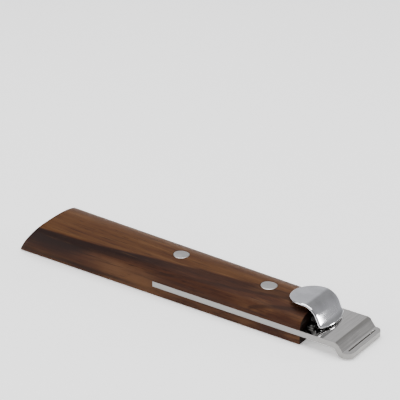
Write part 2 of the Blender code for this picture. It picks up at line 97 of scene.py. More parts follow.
class Socket:
    """A shader or geometry value that takes part in Python expressions."""

    def __init__(self, nodes: "NodeBench", socket: bpy.types.NodeSocket) -> None:
        """Wraps one output socket of a tree."""
        self.nodes = nodes
        self.socket = socket

    def _math(self, operation: str, first: object, second: object) -> "Socket":
        """Adds a Math node with an operation on two values or links."""
        return self.nodes.make("ShaderNodeMath", {"operation": operation}, {0: first, 1: second})

    def __add__(self, other: object) -> "Socket":
        """self + other."""
        return self._math("ADD", self, other)

    def __radd__(self, other: object) -> "Socket":
        """other + self."""
        return self._math("ADD", other, self)

    def __sub__(self, other: object) -> "Socket":
        """self - other."""
        return self._math("SUBTRACT", self, other)

    def __rsub__(self, other: object) -> "Socket":
        """other - self."""
        return self._math("SUBTRACT", other, self)

    def __mul__(self, other: object) -> "Socket":
        """self * other."""
        return self._math("MULTIPLY", self, other)

    def __rmul__(self, other: object) -> "Socket":
        """other * self."""
        return self._math("MULTIPLY", other, self)

    def __truediv__(self, other: object) -> "Socket":
        """self / other."""
        return self._math("DIVIDE", self, other)

    def __rtruediv__(self, other: object) -> "Socket":
        """other / self."""
        return self._math("DIVIDE", other, self)

    def __neg__(self) -> "Socket":
        """0 - self."""
        return self._math("SUBTRACT", 0.0, self)

    def __abs__(self) -> "Socket":
        """The size of self without its sign."""
        return self._math("ABSOLUTE", self, 0.0)

    def power(self, exponent: float) -> "Socket":
        """self to a power."""
        return self._math("POWER", self, exponent)

    def root(self) -> "Socket":
        """The square root of self."""
        return self._math("SQRT", self, 0.0)

    def positive(self) -> "Socket":
        """self where it is above 0, and 0 elsewhere."""
        return (self + abs(self)) * 0.5


class NodeBench:
    """One node tree, with one method that adds any node."""

    def __init__(self, tree: bpy.types.NodeTree) -> None:
        """Keeps the tree that nodes are added to."""
        self.tree = tree

    def plug(self, target: bpy.types.NodeSocket, value: object) -> None:
        """Links or sets one input.

        Args:
            target: the input.
            value: a link or a plain value.
        """
        if isinstance(value, Socket):
            self.tree.links.new(value.socket, target)
        else:
            target.default_value = value

    def add(self, kind: str, settings: dict | None = None, inputs: dict | None = None) -> bpy.types.Node:
        """Adds a node.

        Args:
            kind: the node's type.
            settings: its properties, set first; a ramp's stops go under "stops".
            inputs: the values or links of its sockets, by name or number.

        Returns:
            The node.
        """
        node = self.tree.nodes.new(kind)
        for name, value in (settings or {}).items():
            if name == "stops":
                self._set_stops(node.color_ramp, value)
            else:
                setattr(node, name, value)
        for name, value in (inputs or {}).items():
            self.plug(node.inputs[name], value)
        return node

    def make(
        self,
        kind: str,
        settings: dict | None = None,
        inputs: dict | None = None,
        output: str | int = 0,
    ) -> Socket:
        """Adds a node and wraps one of its outputs.

        Args:
            kind: the node's type.
            settings: its properties.
            inputs: the values or links of its sockets.
            output: the name or number of the output that is wanted.

        Returns:
            That output.
        """
        return Socket(self, self.add(kind, settings, inputs).outputs[output])

    def split(self, vector: Socket) -> tuple[Socket, ...]:
        """The X, Y and Z of a vector."""
        node = self.add("ShaderNodeSeparateXYZ", {}, {0: vector})
        return tuple(Socket(self, output) for output in node.outputs)

    @staticmethod
    def _set_stops(ramp: bpy.types.ColorRamp, stops: tuple) -> None:
        """Gives a ramp its stops.

        Args:
            ramp: the ramp.
            stops: each stop's place and colour.
        """
        while len(ramp.elements) < len(stops):
            ramp.elements.new(1.0)
        for element, (place, colour) in zip(ramp.elements, stops):
            element.position = place
            element.color = (*colour, 1.0)


@dataclass(frozen=True)
class Pattern:
    """A noise pattern: how often it repeats in a metre, how it is turned and placed, and how fine it is."""

    repeats: tuple
    turn: tuple = (0.0, 0.0, 0.0)
    centre: tuple = (0.0, 0.0, 0.0)
    detail: float = 2.0
    rough: float = 0.5


@dataclass(frozen=True)
class Step:
    """A smooth change: where it starts and ends, and the value before and after it."""

    start: float
    end: float
    before: float = 0.0
    after: float = 1.0


class Surface(NodeBench):
    """A material's tree, with the patterns that its finishes share."""

    def __init__(self, name: str) -> None:
        """Makes a material that holds one Principled BSDF.

        Args:
            name: the material's name.
        """
        self.material = bpy.data.materials.new(name)
        self.material.use_nodes = True
        super().__init__(self.material.node_tree)
        self.shader = self.tree.nodes["Principled BSDF"]
        self.place = self.make("ShaderNodeTexCoord", output="Object")

    def feed(self, **inputs: object) -> None:
        """Sets or links the shader's inputs, with underscores for spaces."""
        for name, value in inputs.items():
            self.plug(self.shader.inputs[name.replace("_", " ")], value)

    def noise(self, pattern: Pattern) -> Socket:
        """A noise value from 0 to 1, read at the piece's own coordinates.

        Args:
            pattern: its size, turn, place and fineness.

        Returns:
            The noise.
        """
        where = {"Vector": self.place, "Scale": pattern.repeats}
        where |= {"Rotation": pattern.turn, "Location": pattern.centre}
        vector = self.make("ShaderNodeMapping", {"vector_type": "POINT"}, where)
        inputs = {"Vector": vector, "Scale": 1.0, "Detail": pattern.detail, "Roughness": pattern.rough}
        return self.make("ShaderNodeTexNoise", {"noise_dimensions": "3D"}, inputs, "Fac")

    def step(self, value: Socket, change: Step) -> Socket:
        """A smooth step of a value.

        Args:
            value: what is stepped.
            change: where, and from what to what.

        Returns:
            The stepped value.
        """
        settings = {"interpolation_type": "SMOOTHSTEP", "clamp": True}
        inputs = {"Value": value, "From Min": change.start, "From Max": change.end}
        inputs |= {"To Min": change.before, "To Max": change.after}
        return self.make("ShaderNodeMapRange", settings, inputs)

    def blend(self, amount: Socket, first: object, second: object) -> Socket:
        """Mixes two colours.

        Args:
            amount: how much of the second, from 0 to 1.
            first: the first colour.
            second: the second colour.

        Returns:
            The colour.
        """
        settings = {"data_type": "RGBA", "blend_type": "MIX"}
        inputs = {0: amount, 6: as_colour(first), 7: as_colour(second)}
        return self.make("ShaderNodeMix", settings, inputs, 2)

    def bump(self, height: Socket, distance: float, strength: float) -> None:
        """Feeds a height, in units of distance metres, to the shader's normal."""
        inputs = {"Height": height, "Distance": distance, "Strength": strength}
        self.feed(Normal=self.make("ShaderNodeBump", {}, inputs))


def as_colour(value: object) -> object:
    """A link as it is, or a colour of three numbers with its alpha."""
    return (*value, 1.0) if isinstance(value, tuple) else value


def shaded(colour: tuple, factor: float) -> tuple:
    """A colour made lighter or darker, and never above white."""
    return tuple(min(value * factor, 1.0) for value in colour)


# ---------------------------------------------------------------------------------------------
# Finishes
# ---------------------------------------------------------------------------------------------


@dataclass(frozen=True)
class Walnut:
    """Oiled walnut: a golden top, a near-black band that climbs towards the head, and red-brown sides.

    Lengths are in millimetres; a level is how high a spot stands across the growth layers.
    """

    name: str = "oiled_walnut"
    golden: tuple = (0.066, 0.028, 0.0115)
    tan: tuple = (0.105, 0.050, 0.021)
    patch: tuple = (0.092, 0.041, 0.018)
    red_brown: tuple = (0.041, 0.0150, 0.0078)
    dark: tuple = (0.0120, 0.0060, 0.0052)
    # near-black colour of the head's end face: painted shade of that unlit face, over darker oiled end grain
    end_grain_and_shade: tuple = (0.0045, 0.0030, 0.0027)
    specular: float = 0.06
    roughness: float = 0.46
    fine_roughness: float = 0.16
    pore_roughness: float = 0.12
    pore_stain: float = 0.55
    fine_relief: float = 0.4
    relief: float = 0.00005
    relief_strength: float = 0.5

    waves: Pattern = Pattern((24.0, 95.0, 95.0), centre=(3.1, 0.7, 2.2), detail=3.0, rough=0.55)
    fine: Pattern = Pattern((70.0, 1500.0, 1500.0), turn=(0.0, 0.05, 0.05), detail=4.0, rough=0.6)
    broad: Pattern = Pattern((26.0, 520.0, 520.0), (0.0, 0.04, 0.04), (5.0, 1.0, 0.0), 3.0)
    pores: Pattern = Pattern((150.0, 2600.0, 2600.0), turn=(0.0, 0.05, 0.05), detail=1.0)
    clouds: Pattern = Pattern((60.0, 190.0, 190.0), centre=(1.0, 4.0, 9.0), detail=3.0)

    layer_across: float = 0.506
    layer_up: float = 0.911
    warp: float = 1.9
    golden_edge: Step = Step(-0.5, 0.35, 1.0, 0.0)
    tan_streaks: Step = Step(0.50, 0.70)
    tan_on_gold: float = 0.5
    tan_elsewhere: float = 0.12
    red_streaks: Step = Step(0.30, 0.50, 0.55, 0.0)
    dark_lines: Step = Step(0.28, 0.50, 0.55, 0.0)
    light_lines: Step = Step(0.56, 0.74, 0.0, 0.22)
    pore_edge: Step = Step(0.66, 0.74)
    head_at: float = 52.3
    end_face_shade_line: Step = Step(-0.12, -0.02, 0.0, 0.9)

    band_level: float = 5.3
    band_bend: float = -45.0
    band_ease: float = 30.0
    band_climb: float = 0.066
    band_top: Step = Step(-0.2, 0.55)
    band_foot: Step = Step(1.5, 4.2, 1.0, 0.0)
    band_widening: Step = Step(-52.0, -34.0, 2.4, 1.0)
    band_fading: Step = Step(-22.0, 12.0, 0.92, 0.42)

    slant_climb: float = 0.11
    slant_level: float = 3.7
    slant_width: Step = Step(0.2, 0.9, 0.5, 0.0)
    slant_run: Step = Step(-14.0, -4.0)
    curve_at: float = 30.5
    curve_length: float = 16.0
    curve_ease: float = 0.003
    curve_bend: float = 0.55
    curve_rise: float = 5.2
    curve_level: float = 0.2
    curve_width: Step = Step(0.25, 1.15, 0.55, 0.0)
    curve_start: Step = Step(0.0, 0.12)
    foot_low: Step = Step(-5.2, -4.3)
    foot_high: Step = Step(-4.2, -2.6, 1.0, 0.0)
    foot_run: Step = Step(-30.0, -8.0, 0.72, 0.2)

    patch_start: Step = Step(-44.0, -24.0)
    patch_end: Step = Step(-13.0, -2.0, 1.0, 0.0)
    patch_height: Step = Step(6.5, 10.5, 0.95, 0.0)
    patch_clouds: Step = Step(0.22, 0.62, 0.45, 1.0)
    fleck_start: Step = Step(22.0, 34.0)
    fleck_clouds: Step = Step(0.42, 0.66, 0.0, 0.75)
    under_height: Step = Step(2.4, 3.3, 0.55, 0.0)
    under_clouds: Step = Step(0.35, 0.6)

    def make(self) -> bpy.types.Material:
        """Builds the material.

        Returns:
            The material.
        """
        s = Surface(self.name)
        x, y, z = (place * MILLIMETRES for place in s.split(s.place))
        level = z * self.layer_up + y * self.layer_across + (s.noise(self.waves) - 0.5) * self.warp
        below = self._climbing_band(x) - level
        golden = s.step(below, self.golden_edge)
        fine = s.noise(self.fine)
        broad = s.noise(self.broad)
        pores = s.step(s.noise(self.pores), self.pore_edge)
        tan_amount = golden * self.tan_on_gold + self.tan_elsewhere
        colour = s.blend(golden, self.red_brown, self.golden)
        colour = s.blend(self._low_patch(s, x, z) * (1.0 - golden), colour, self.patch)
        colour = s.blend(s.step(broad, self.tan_streaks) * tan_amount, colour, self.tan)
        colour = s.blend(s.step(broad, self.red_streaks), colour, self.red_brown)
        colour = s.blend(self._band(s, x, below), colour, self.dark)
        colour = s.blend(self._slant_streaks(s, x, level), colour, self.dark)
        colour = s.blend(s.step(fine, self.dark_lines), colour, self.dark)
        colour = s.blend(s.step(fine, self.light_lines), colour, self.tan)
        colour = s.blend(pores * self.pore_stain, colour, self.dark)
        # the head's end face is painted near black: painted shade, partly darker end grain
        colour = s.blend(s.step(x - self.head_at, self.end_face_shade_line), colour, self.end_grain_and_shade)
        rough = self.roughness + (fine - 0.5) * self.fine_roughness + pores * self.pore_roughness
        s.feed(Base_Color=colour, Roughness=rough, Specular_IOR_Level=self.specular)
        s.bump(fine * self.fine_relief - pores, self.relief, self.relief_strength)
        return s.material

    def _climbing_band(self, x: Socket) -> Socket:
        """The level of the band's upper edge, flat at the butt and climbing from its bend."""
        past = x - self.band_bend
        return (past + (past * past + self.band_ease).root()) * 0.5 * self.band_climb + self.band_level

    def _band(self, s: Surface, x: Socket, below: Socket) -> Socket:
        """How dark the band is, widest and blackest at the butt.

        Args:
            s: the wood's surface.
            x: the place along the handle.
            below: how far a spot lies below the band's upper edge.

        Returns:
            The band's strength.
        """
        depth = below / s.step(x, self.band_widening)
        return s.step(below, self.band_top) * s.step(depth, self.band_foot) * s.step(x, self.band_fading)

    def _slant_streaks(self, s: Surface, x: Socket, level: Socket) -> Socket:
        """Dark streaks: a thin one under the band, a curved one near the head and one along the foot.

        Args:
            s: the wood's surface.
            x: the place along the handle.
            level: the spot's level.

        Returns:
            The streaks' strength.
        """
        off_slant = abs(level - (x * self.slant_climb + self.slant_level))
        slant = s.step(off_slant, self.slant_width) * s.step(x, self.slant_run)
        past = (x - self.curve_at) / self.curve_length
        rise = (past + (past * past + self.curve_ease).root()) * 0.5
        off_curve = abs(level - rise.power(self.curve_bend) * self.curve_rise - self.curve_level)
        curve = s.step(off_curve, self.curve_width) * s.step(past, self.curve_start)
        foot = s.step(level, self.foot_low) * s.step(level, self.foot_high) * s.step(x, self.foot_run)
        return slant + curve + foot

    def _low_patch(self, s: Surface, x: Socket, z: Socket) -> Socket:
        """A golden patch low on the side, flecks near the head and a paler lower edge.

        Args:
            s: the wood's surface.
            x: the place along the handle.
            z: the height.

        Returns:
            The patch's strength.
        """
        clouds = s.noise(self.clouds)
        patch = s.step(x, self.patch_start) * s.step(x, self.patch_end) * s.step(z, self.patch_height)
        fleck = s.step(x, self.fleck_start) * s.step(clouds, self.fleck_clouds)
        under = s.step(z, self.under_height) * s.step(clouds, self.under_clouds)
        return patch * s.step(clouds, self.patch_clouds) + fleck + under * (1.0 - patch)


@dataclass(frozen=True)
class SheetEdge:
    """A sheet's front, half of its width and the radius of its round front corners."""

    front: float
    half_width: float
    corner: float


@dataclass(frozen=True)
class BrushedSteel:
    """Satin stainless steel brushed along one axis, with faint blotches and rubbed edges."""

    name: str
    colour: tuple = (0.60, 0.585, 0.565)
    roughness: float = 0.11
    grain: tuple = (5200.0, 130.0, 5200.0)
    edge: SheetEdge | None = None
    coarse_share: float = 0.23
    blotches: Pattern = Pattern((160.0, 160.0, 160.0), detail=3.0)
    fine_shade: float = 0.30
    coarse_shade: float = 0.21
    blotch_shade: float = 0.10
    shading: Step = Step(-0.25, 0.25)
    darkest: float = 0.72
    lightest: float = 1.22
    coarse_roughness: float = 0.08
    blotch_roughness: float = 0.05
    coarse_relief: float = 0.6
    relief: float = 0.000004
    relief_strength: float = 0.5
    cut_shade: float = 0.47
    cut_roughness: float = 0.30
    cut_line: Step = Step(-0.00022, -0.00008)
    polish_line: Step = Step(-0.0062, -0.0042, 1.0, 0.0)
    polish_gloss: float = 0.055
    polish_flatness: float = 0.85

    def make(self) -> bpy.types.Material:
        """Builds the material.

        Returns:
            The material.
        """
        s = Surface(self.name)
        brush = s.noise(Pattern(self.grain, detail=3.0, rough=0.6))
        coarse = s.noise(Pattern(tuple(value * self.coarse_share for value in self.grain)))
        blotch = s.noise(self.blotches) - 0.5
        shade = (brush - 0.5) * self.fine_shade + (coarse - 0.5) * self.coarse_shade
        shade = s.step(shade + blotch * self.blotch_shade, self.shading)
        colour = s.blend(shade, shaded(self.colour, self.darkest), shaded(self.colour, self.lightest))
        rough = (coarse - 0.5) * self.coarse_roughness + blotch * self.blotch_roughness + self.roughness
        relief = brush + coarse * self.coarse_relief
        if self.edge:
            cut = self._cut(s, self.edge)
            polish = s.step(s.split(s.place)[0] - self.edge.front, self.polish_line)
            colour = s.blend(cut, colour, shaded(self.colour, self.cut_shade))
            rough = rough - polish * self.polish_gloss + cut * self.cut_roughness
            relief = relief * (1.0 - polish * self.polish_flatness)
        s.feed(Base_Color=colour, Metallic=1.0, Roughness=rough)
        s.bump(relief, self.relief, self.relief_strength)
        return s.material

    def _cut(self, s: Surface, edge: SheetEdge) -> Socket:
        """A mask of the duller sheared sides.

        Args:
            s: the steel's surface.
            edge: the sheet's outline.

        Returns:
            1 on the sides and round the front corners, 0 elsewhere.
        """
        x, y, _ = s.split(s.place)
        out_x = (x - (edge.front - edge.corner)).positive()
        out_y = (abs(y) - (edge.half_width - edge.corner)).positive()
        return s.step((out_x * out_x + out_y * out_y).root() - edge.corner, self.cut_line)


@dataclass(frozen=True)
class PolishedChrome:
    """Polished chrome with a faint haze, fine wipe marks and a slightly wavy surface."""

    name: str = "polished_chrome"
    colour: tuple = (0.73, 0.735, 0.762)
    haze_shade: float = 0.86
    roughness: float = 0.085
    haze_roughness: float = 0.07
    wipe: Pattern = Pattern((2600.0, 190.0, 2600.0), turn=(0.0, 0.0, 0.25))
    haze: Pattern = Pattern((240.0, 240.0, 240.0), detail=3.0)
    wave: Pattern = Pattern((170.0, 90.0, 170.0), detail=1.0)
    haze_edge: Step = Step(0.35, 0.7)
    wipe_marks: Step = Step(0.62, 0.78, 0.0, 0.05)
    wave_relief: float = 2.0
    wipe_relief: float = 0.03
    relief: float = 0.00001
    relief_strength: float = 0.5

    def make(self) -> bpy.types.Material:
        """Builds the material.

        Returns:
            The material.
        """
        s = Surface(self.name)
        wipe = s.noise(self.wipe)
        haze = s.noise(self.haze)
        wave = s.noise(self.wave)
        colour = s.blend(s.step(haze, self.haze_edge), self.colour, shaded(self.colour, self.haze_shade))
        rough = self.roughness + (haze - 0.5) * self.haze_roughness + s.step(wipe, self.wipe_marks)
        s.feed(Base_Color=colour, Metallic=1.0, Roughness=rough)
        s.bump(wave * self.wave_relief + wipe * self.wipe_relief, self.relief, self.relief_strength)
        return s.material


@dataclass(frozen=True)
class DrawnWire:
    """Dark drawn spring wire, with long dull die lines and worn bright spots."""

    name: str = "drawn_spring_wire"
    colour: tuple = (0.10, 0.10, 0.105)
    bright: tuple = (0.26, 0.255, 0.25)
    roughness: float = 0.34
    fine_roughness: float = 0.2
    worn: Pattern = Pattern((900.0, 900.0, 900.0), detail=3.0)
    fine: Pattern = Pattern((5200.0, 5200.0, 5200.0))
    worn_edge: Step = Step(0.45, 0.75)
    relief: float = 0.000008
    relief_strength: float = 0.5

    def make(self) -> bpy.types.Material:
        """Builds the material.

        Returns:
            The material.
        """
        s = Surface(self.name)
        fine = s.noise(self.fine)
        colour = s.blend(s.step(s.noise(self.worn), self.worn_edge), self.colour, self.bright)
        rough = self.roughness + (fine - 0.5) * self.fine_roughness
        s.feed(Base_Color=colour, Metallic=1.0, Roughness=rough)
        s.bump(fine, self.relief, self.relief_strength)
        return s.material


@dataclass(frozen=True)
class StudioPaper:
    """Matt white paper under and behind the lame."""

    name: str = "studio_paper"
    colour: tuple = (0.96, 0.96, 0.96)
    roughness: float = 0.9
    glow: float = 0.40
    tooth: Pattern = Pattern((900.0, 900.0, 900.0))
    relief: float = 0.00002
    relief_strength: float = 0.2

    def make(self) -> bpy.types.Material:
        """Builds the material.

        Returns:
            The material.
        """
        s = Surface(self.name)
        s.feed(Base_Color=as_colour(self.colour), Roughness=self.roughness)
        s.feed(Emission_Color=(1.0, 1.0, 1.0, 1.0), Emission_Strength=self.glow)
        s.bump(s.noise(self.tooth), self.relief, self.relief_strength)
        return s.material


# ---------------------------------------------------------------------------------------------
# Mesh tools
# ---------------------------------------------------------------------------------------------


def link(name: str, data: bpy.types.ID) -> bpy.types.Object:
    """Makes an object from its data and puts it in the scene.

    Args:
        name: the object's name.
        data: its mesh, light or camera.

    Returns:
        The object.
    """
    obj = bpy.data.objects.new(name, data)
    bpy.context.scene.collection.objects.link(obj)
    return obj


def place_piece(
    name: str,
    mesh: bpy.types.Mesh,
    material: bpy.types.Material,
    body: Part,
    nodes: tuple,
) -> bpy.types.Object:
    """Links a finished piece, gives it its finish and ties it to its body.

    Args:
        name: the piece's name.
        mesh: its mesh, in the frame.
        material: its finish.
        body: the body it rides on.
        nodes: the CAD nodes it stands for.

    Returns:
        The object.
    """
    mesh.name = name
    mesh.materials.clear()
    mesh.materials.append(material)
    piece = link(name, mesh)
    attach(piece, body.value)
    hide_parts(*nodes)
    log.info("%s: %d faces on %s", name, len(mesh.polygons), body.value)
    return piece


def bake(obj: bpy.types.Object) -> bpy.types.Mesh:
    """Turns an object with live modifiers into a plain mesh and removes the object.

    Args:
        obj: the object.

    Returns:
        Its evaluated mesh.
    """
    bpy.context.view_layer.update()
    depsgraph = bpy.context.evaluated_depsgraph_get()
    mesh = bpy.data.meshes.new_from_object(obj.evaluated_get(depsgraph))
    bpy.data.objects.remove(obj)
    return mesh


def pour(bm: bmesh.types.BMesh, mesh: bpy.types.Mesh) -> None:
    """Merges a bmesh's doubles, turns its faces outwards and writes it to a mesh.

    Args:
        bm: the bmesh, which is freed.
        mesh: the mesh that is filled.
    """
    bmesh.ops.remove_doubles(bm, verts=bm.verts, dist=MERGE_DISTANCE)
    bmesh.ops.recalc_face_normals(bm, faces=bm.faces)
    bm.to_mesh(mesh)
    bm.free()


def draft(name: str, bm: bmesh.types.BMesh) -> bpy.types.Object:
    """Links a working object made from a bmesh, with merged doubles and outward faces.

    Args:
        name: the object's name.
        bm: the bmesh, which is freed.

    Returns:
        The object.
    """
    mesh = bpy.data.meshes.new(name)
    pour(bm, mesh)
    return link(name, mesh)


def line_object(name: str, points: list) -> bpy.types.Object:
    """Links a working object that is one open line of edges.

    Args:
        name: the object's name.
        points: the line's points in order.

    Returns:
        The object.
    """
    mesh = bpy.data.meshes.new(name)
    mesh.from_pydata(points, [(i, i + 1) for i in range(len(points) - 1)], [])
    return link(name, mesh)


def carve(obj: bpy.types.Object, cutters: list) -> bpy.types.Object:
    """Takes cutters out of an object and removes them.

    Args:
        obj: what is cut.
        cutters: the closed objects that cut it.

    Returns:
        A plain object with the cuts made.
    """
    for cutter in cutters:
        modifier = obj.modifiers.new(cutter.name, "BOOLEAN")
        modifier.object = cutter
        modifier.solver = "EXACT"
    name = obj.name
    mesh = bake(obj)
    for cutter in cutters:
        bpy.data.objects.remove(cutter)
    return link(name, mesh)


def soften(obj: bpy.types.Object, width: float, segments: int, angle: float) -> bpy.types.Mesh:
    """Rounds an object's sharp edges and weights its normals by area.

    Args:
        obj: the object, which is removed.
        width: the rounding's width.
        segments: the steps across it.
        angle: edges sharper than this are rounded.

    Returns:
        The finished mesh.
    """
    obj.data.shade_smooth()
    bevel = obj.modifiers.new("rounding", "BEVEL")
    bevel.width = width
    bevel.segments = segments
    bevel.limit_method = "ANGLE"
    bevel.angle_limit = angle
    weighted = obj.modifiers.new("weighted", "WEIGHTED_NORMAL")
    weighted.keep_sharp = False
    weighted.weight = AREA_WEIGHT
    return bake(obj)


def join_loops(bm: bmesh.types.BMesh, first: list, second: list, closed: bool = True) -> None:
    """Bridges two loops of vertices with quads.

    Args:
        bm: the bmesh.
        first: the first loop.
        second: the second, of the same length.
        closed: whether the loops run round.
    """
    count = len(first)
    for i in range(count if closed else count - 1):
        j = (i + 1) % count
        bm.faces.new((first[i], first[j], second[j], second[i]))


def arc(centre: tuple, radius: float, start: float, end: float, steps: int) -> list:
    """Points on a circle from one angle to another.

    Args:
        centre: its centre.
        radius: its radius.
        start: the first angle.
        end: the last angle.
        steps: how many steps lie between.

    Returns:
        The points, both ends included.
    """
    angles = [start + (end - start) * i / steps for i in range(steps + 1)]
    return [(centre[0] + radius * math.cos(a), centre[1] + radius * math.sin(a)) for a in angles]


def box_bmesh(low: tuple, high: tuple) -> bmesh.types.BMesh:
    """A closed box.

    Args:
        low: its lowest corner.
        high: its highest corner.

    Returns:
        The box.
    """
    bm = bmesh.new()
    bmesh.ops.create_cube(bm, size=1.0)
    for vertex in bm.verts:
        for axis in range(3):
            vertex.co[axis] = high[axis] if vertex.co[axis] > 0 else low[axis]
    return bm


def column_bmesh(outline: list, low: float, high: float) -> bmesh.types.BMesh:
    """A closed upright column.

    Args:
        outline: its outline in plan.
        low: the height of its foot.
        high: the height of its top.

    Returns:
        The column.
    """
    bm = bmesh.new()
    lower = [bm.verts.new((x, y, low)) for x, y in outline]
    upper = [bm.verts.new((x, y, high)) for x, y in outline]
    bm.faces.new(lower[::-1])
    bm.faces.new(upper)
    join_loops(bm, lower, upper)
    return bm


def disc_bmesh(centre: tuple, radius: float, low: float, high: float, sides: int = 72) -> bmesh.types.BMesh:
    """A closed upright cylinder.

    Args:
        centre: its axis in plan.
        radius: its radius.
        low: the height of its foot.
        high: the height of its top.
        sides: how many sides it has.

    Returns:
        The cylinder.
    """
    return column_bmesh(arc(centre, radius, 0.0, math.tau, sides)[:-1], low, high)


class PathWalker:
    """Walks a side view of straights and bends and answers where it is at any X."""

    def __init__(self, x: float, z: float, angle: float) -> None:
        """Starts at a point, heading down by an angle."""
        self.points = [(x, z, angle)]

    def straight(self, length: float, steps: int = 1) -> "PathWalker":
        """Adds a straight.

        Args:
            length: its length.
            steps: how many pieces it has.

        Returns:
            This walker.
        """
        for _ in range(steps):
            x, z, angle = self.points[-1]
            x += length / steps * math.cos(angle)
            z -= length / steps * math.sin(angle)
            self.points.append((x, z, angle))
        return self

    def bend(self, radius: float, target: float, steps: int) -> "PathWalker":
        """Adds a bend.

        Args:
            radius: its radius.
            target: the angle it ends at.
            steps: how many pieces it has.

        Returns:
            This walker.
        """
        turn = (target - self.points[-1][2]) / steps
        chord = 2 * radius * math.sin(abs(turn) / 2)
        for _ in range(steps):
            x, z, angle = self.points[-1]
            x += chord * math.cos(angle + turn / 2)
            z -= chord * math.sin(angle + turn / 2)
            self.points.append((x, z, angle + turn))
        return self

    def at(self, x: float) -> tuple[float, float]:
        """Finds the path where it passes x.

        Args:
            x: the place.

        Returns:
            The path's height and angle there.
        """
        for (x0, z0, a0), (x1, z1, a1) in zip(self.points, self.points[1:]):
            if x <= x1:
                t = min(max((x - x0) / (x1 - x0), 0.0), 1.0)
                return z0 + (z1 - z0) * t, a0 + (a1 - a0) * t
        return self.points[-1][1], self.points[-1][2]


# ---------------------------------------------------------------------------------------------
# Handle
# ---------------------------------------------------------------------------------------------


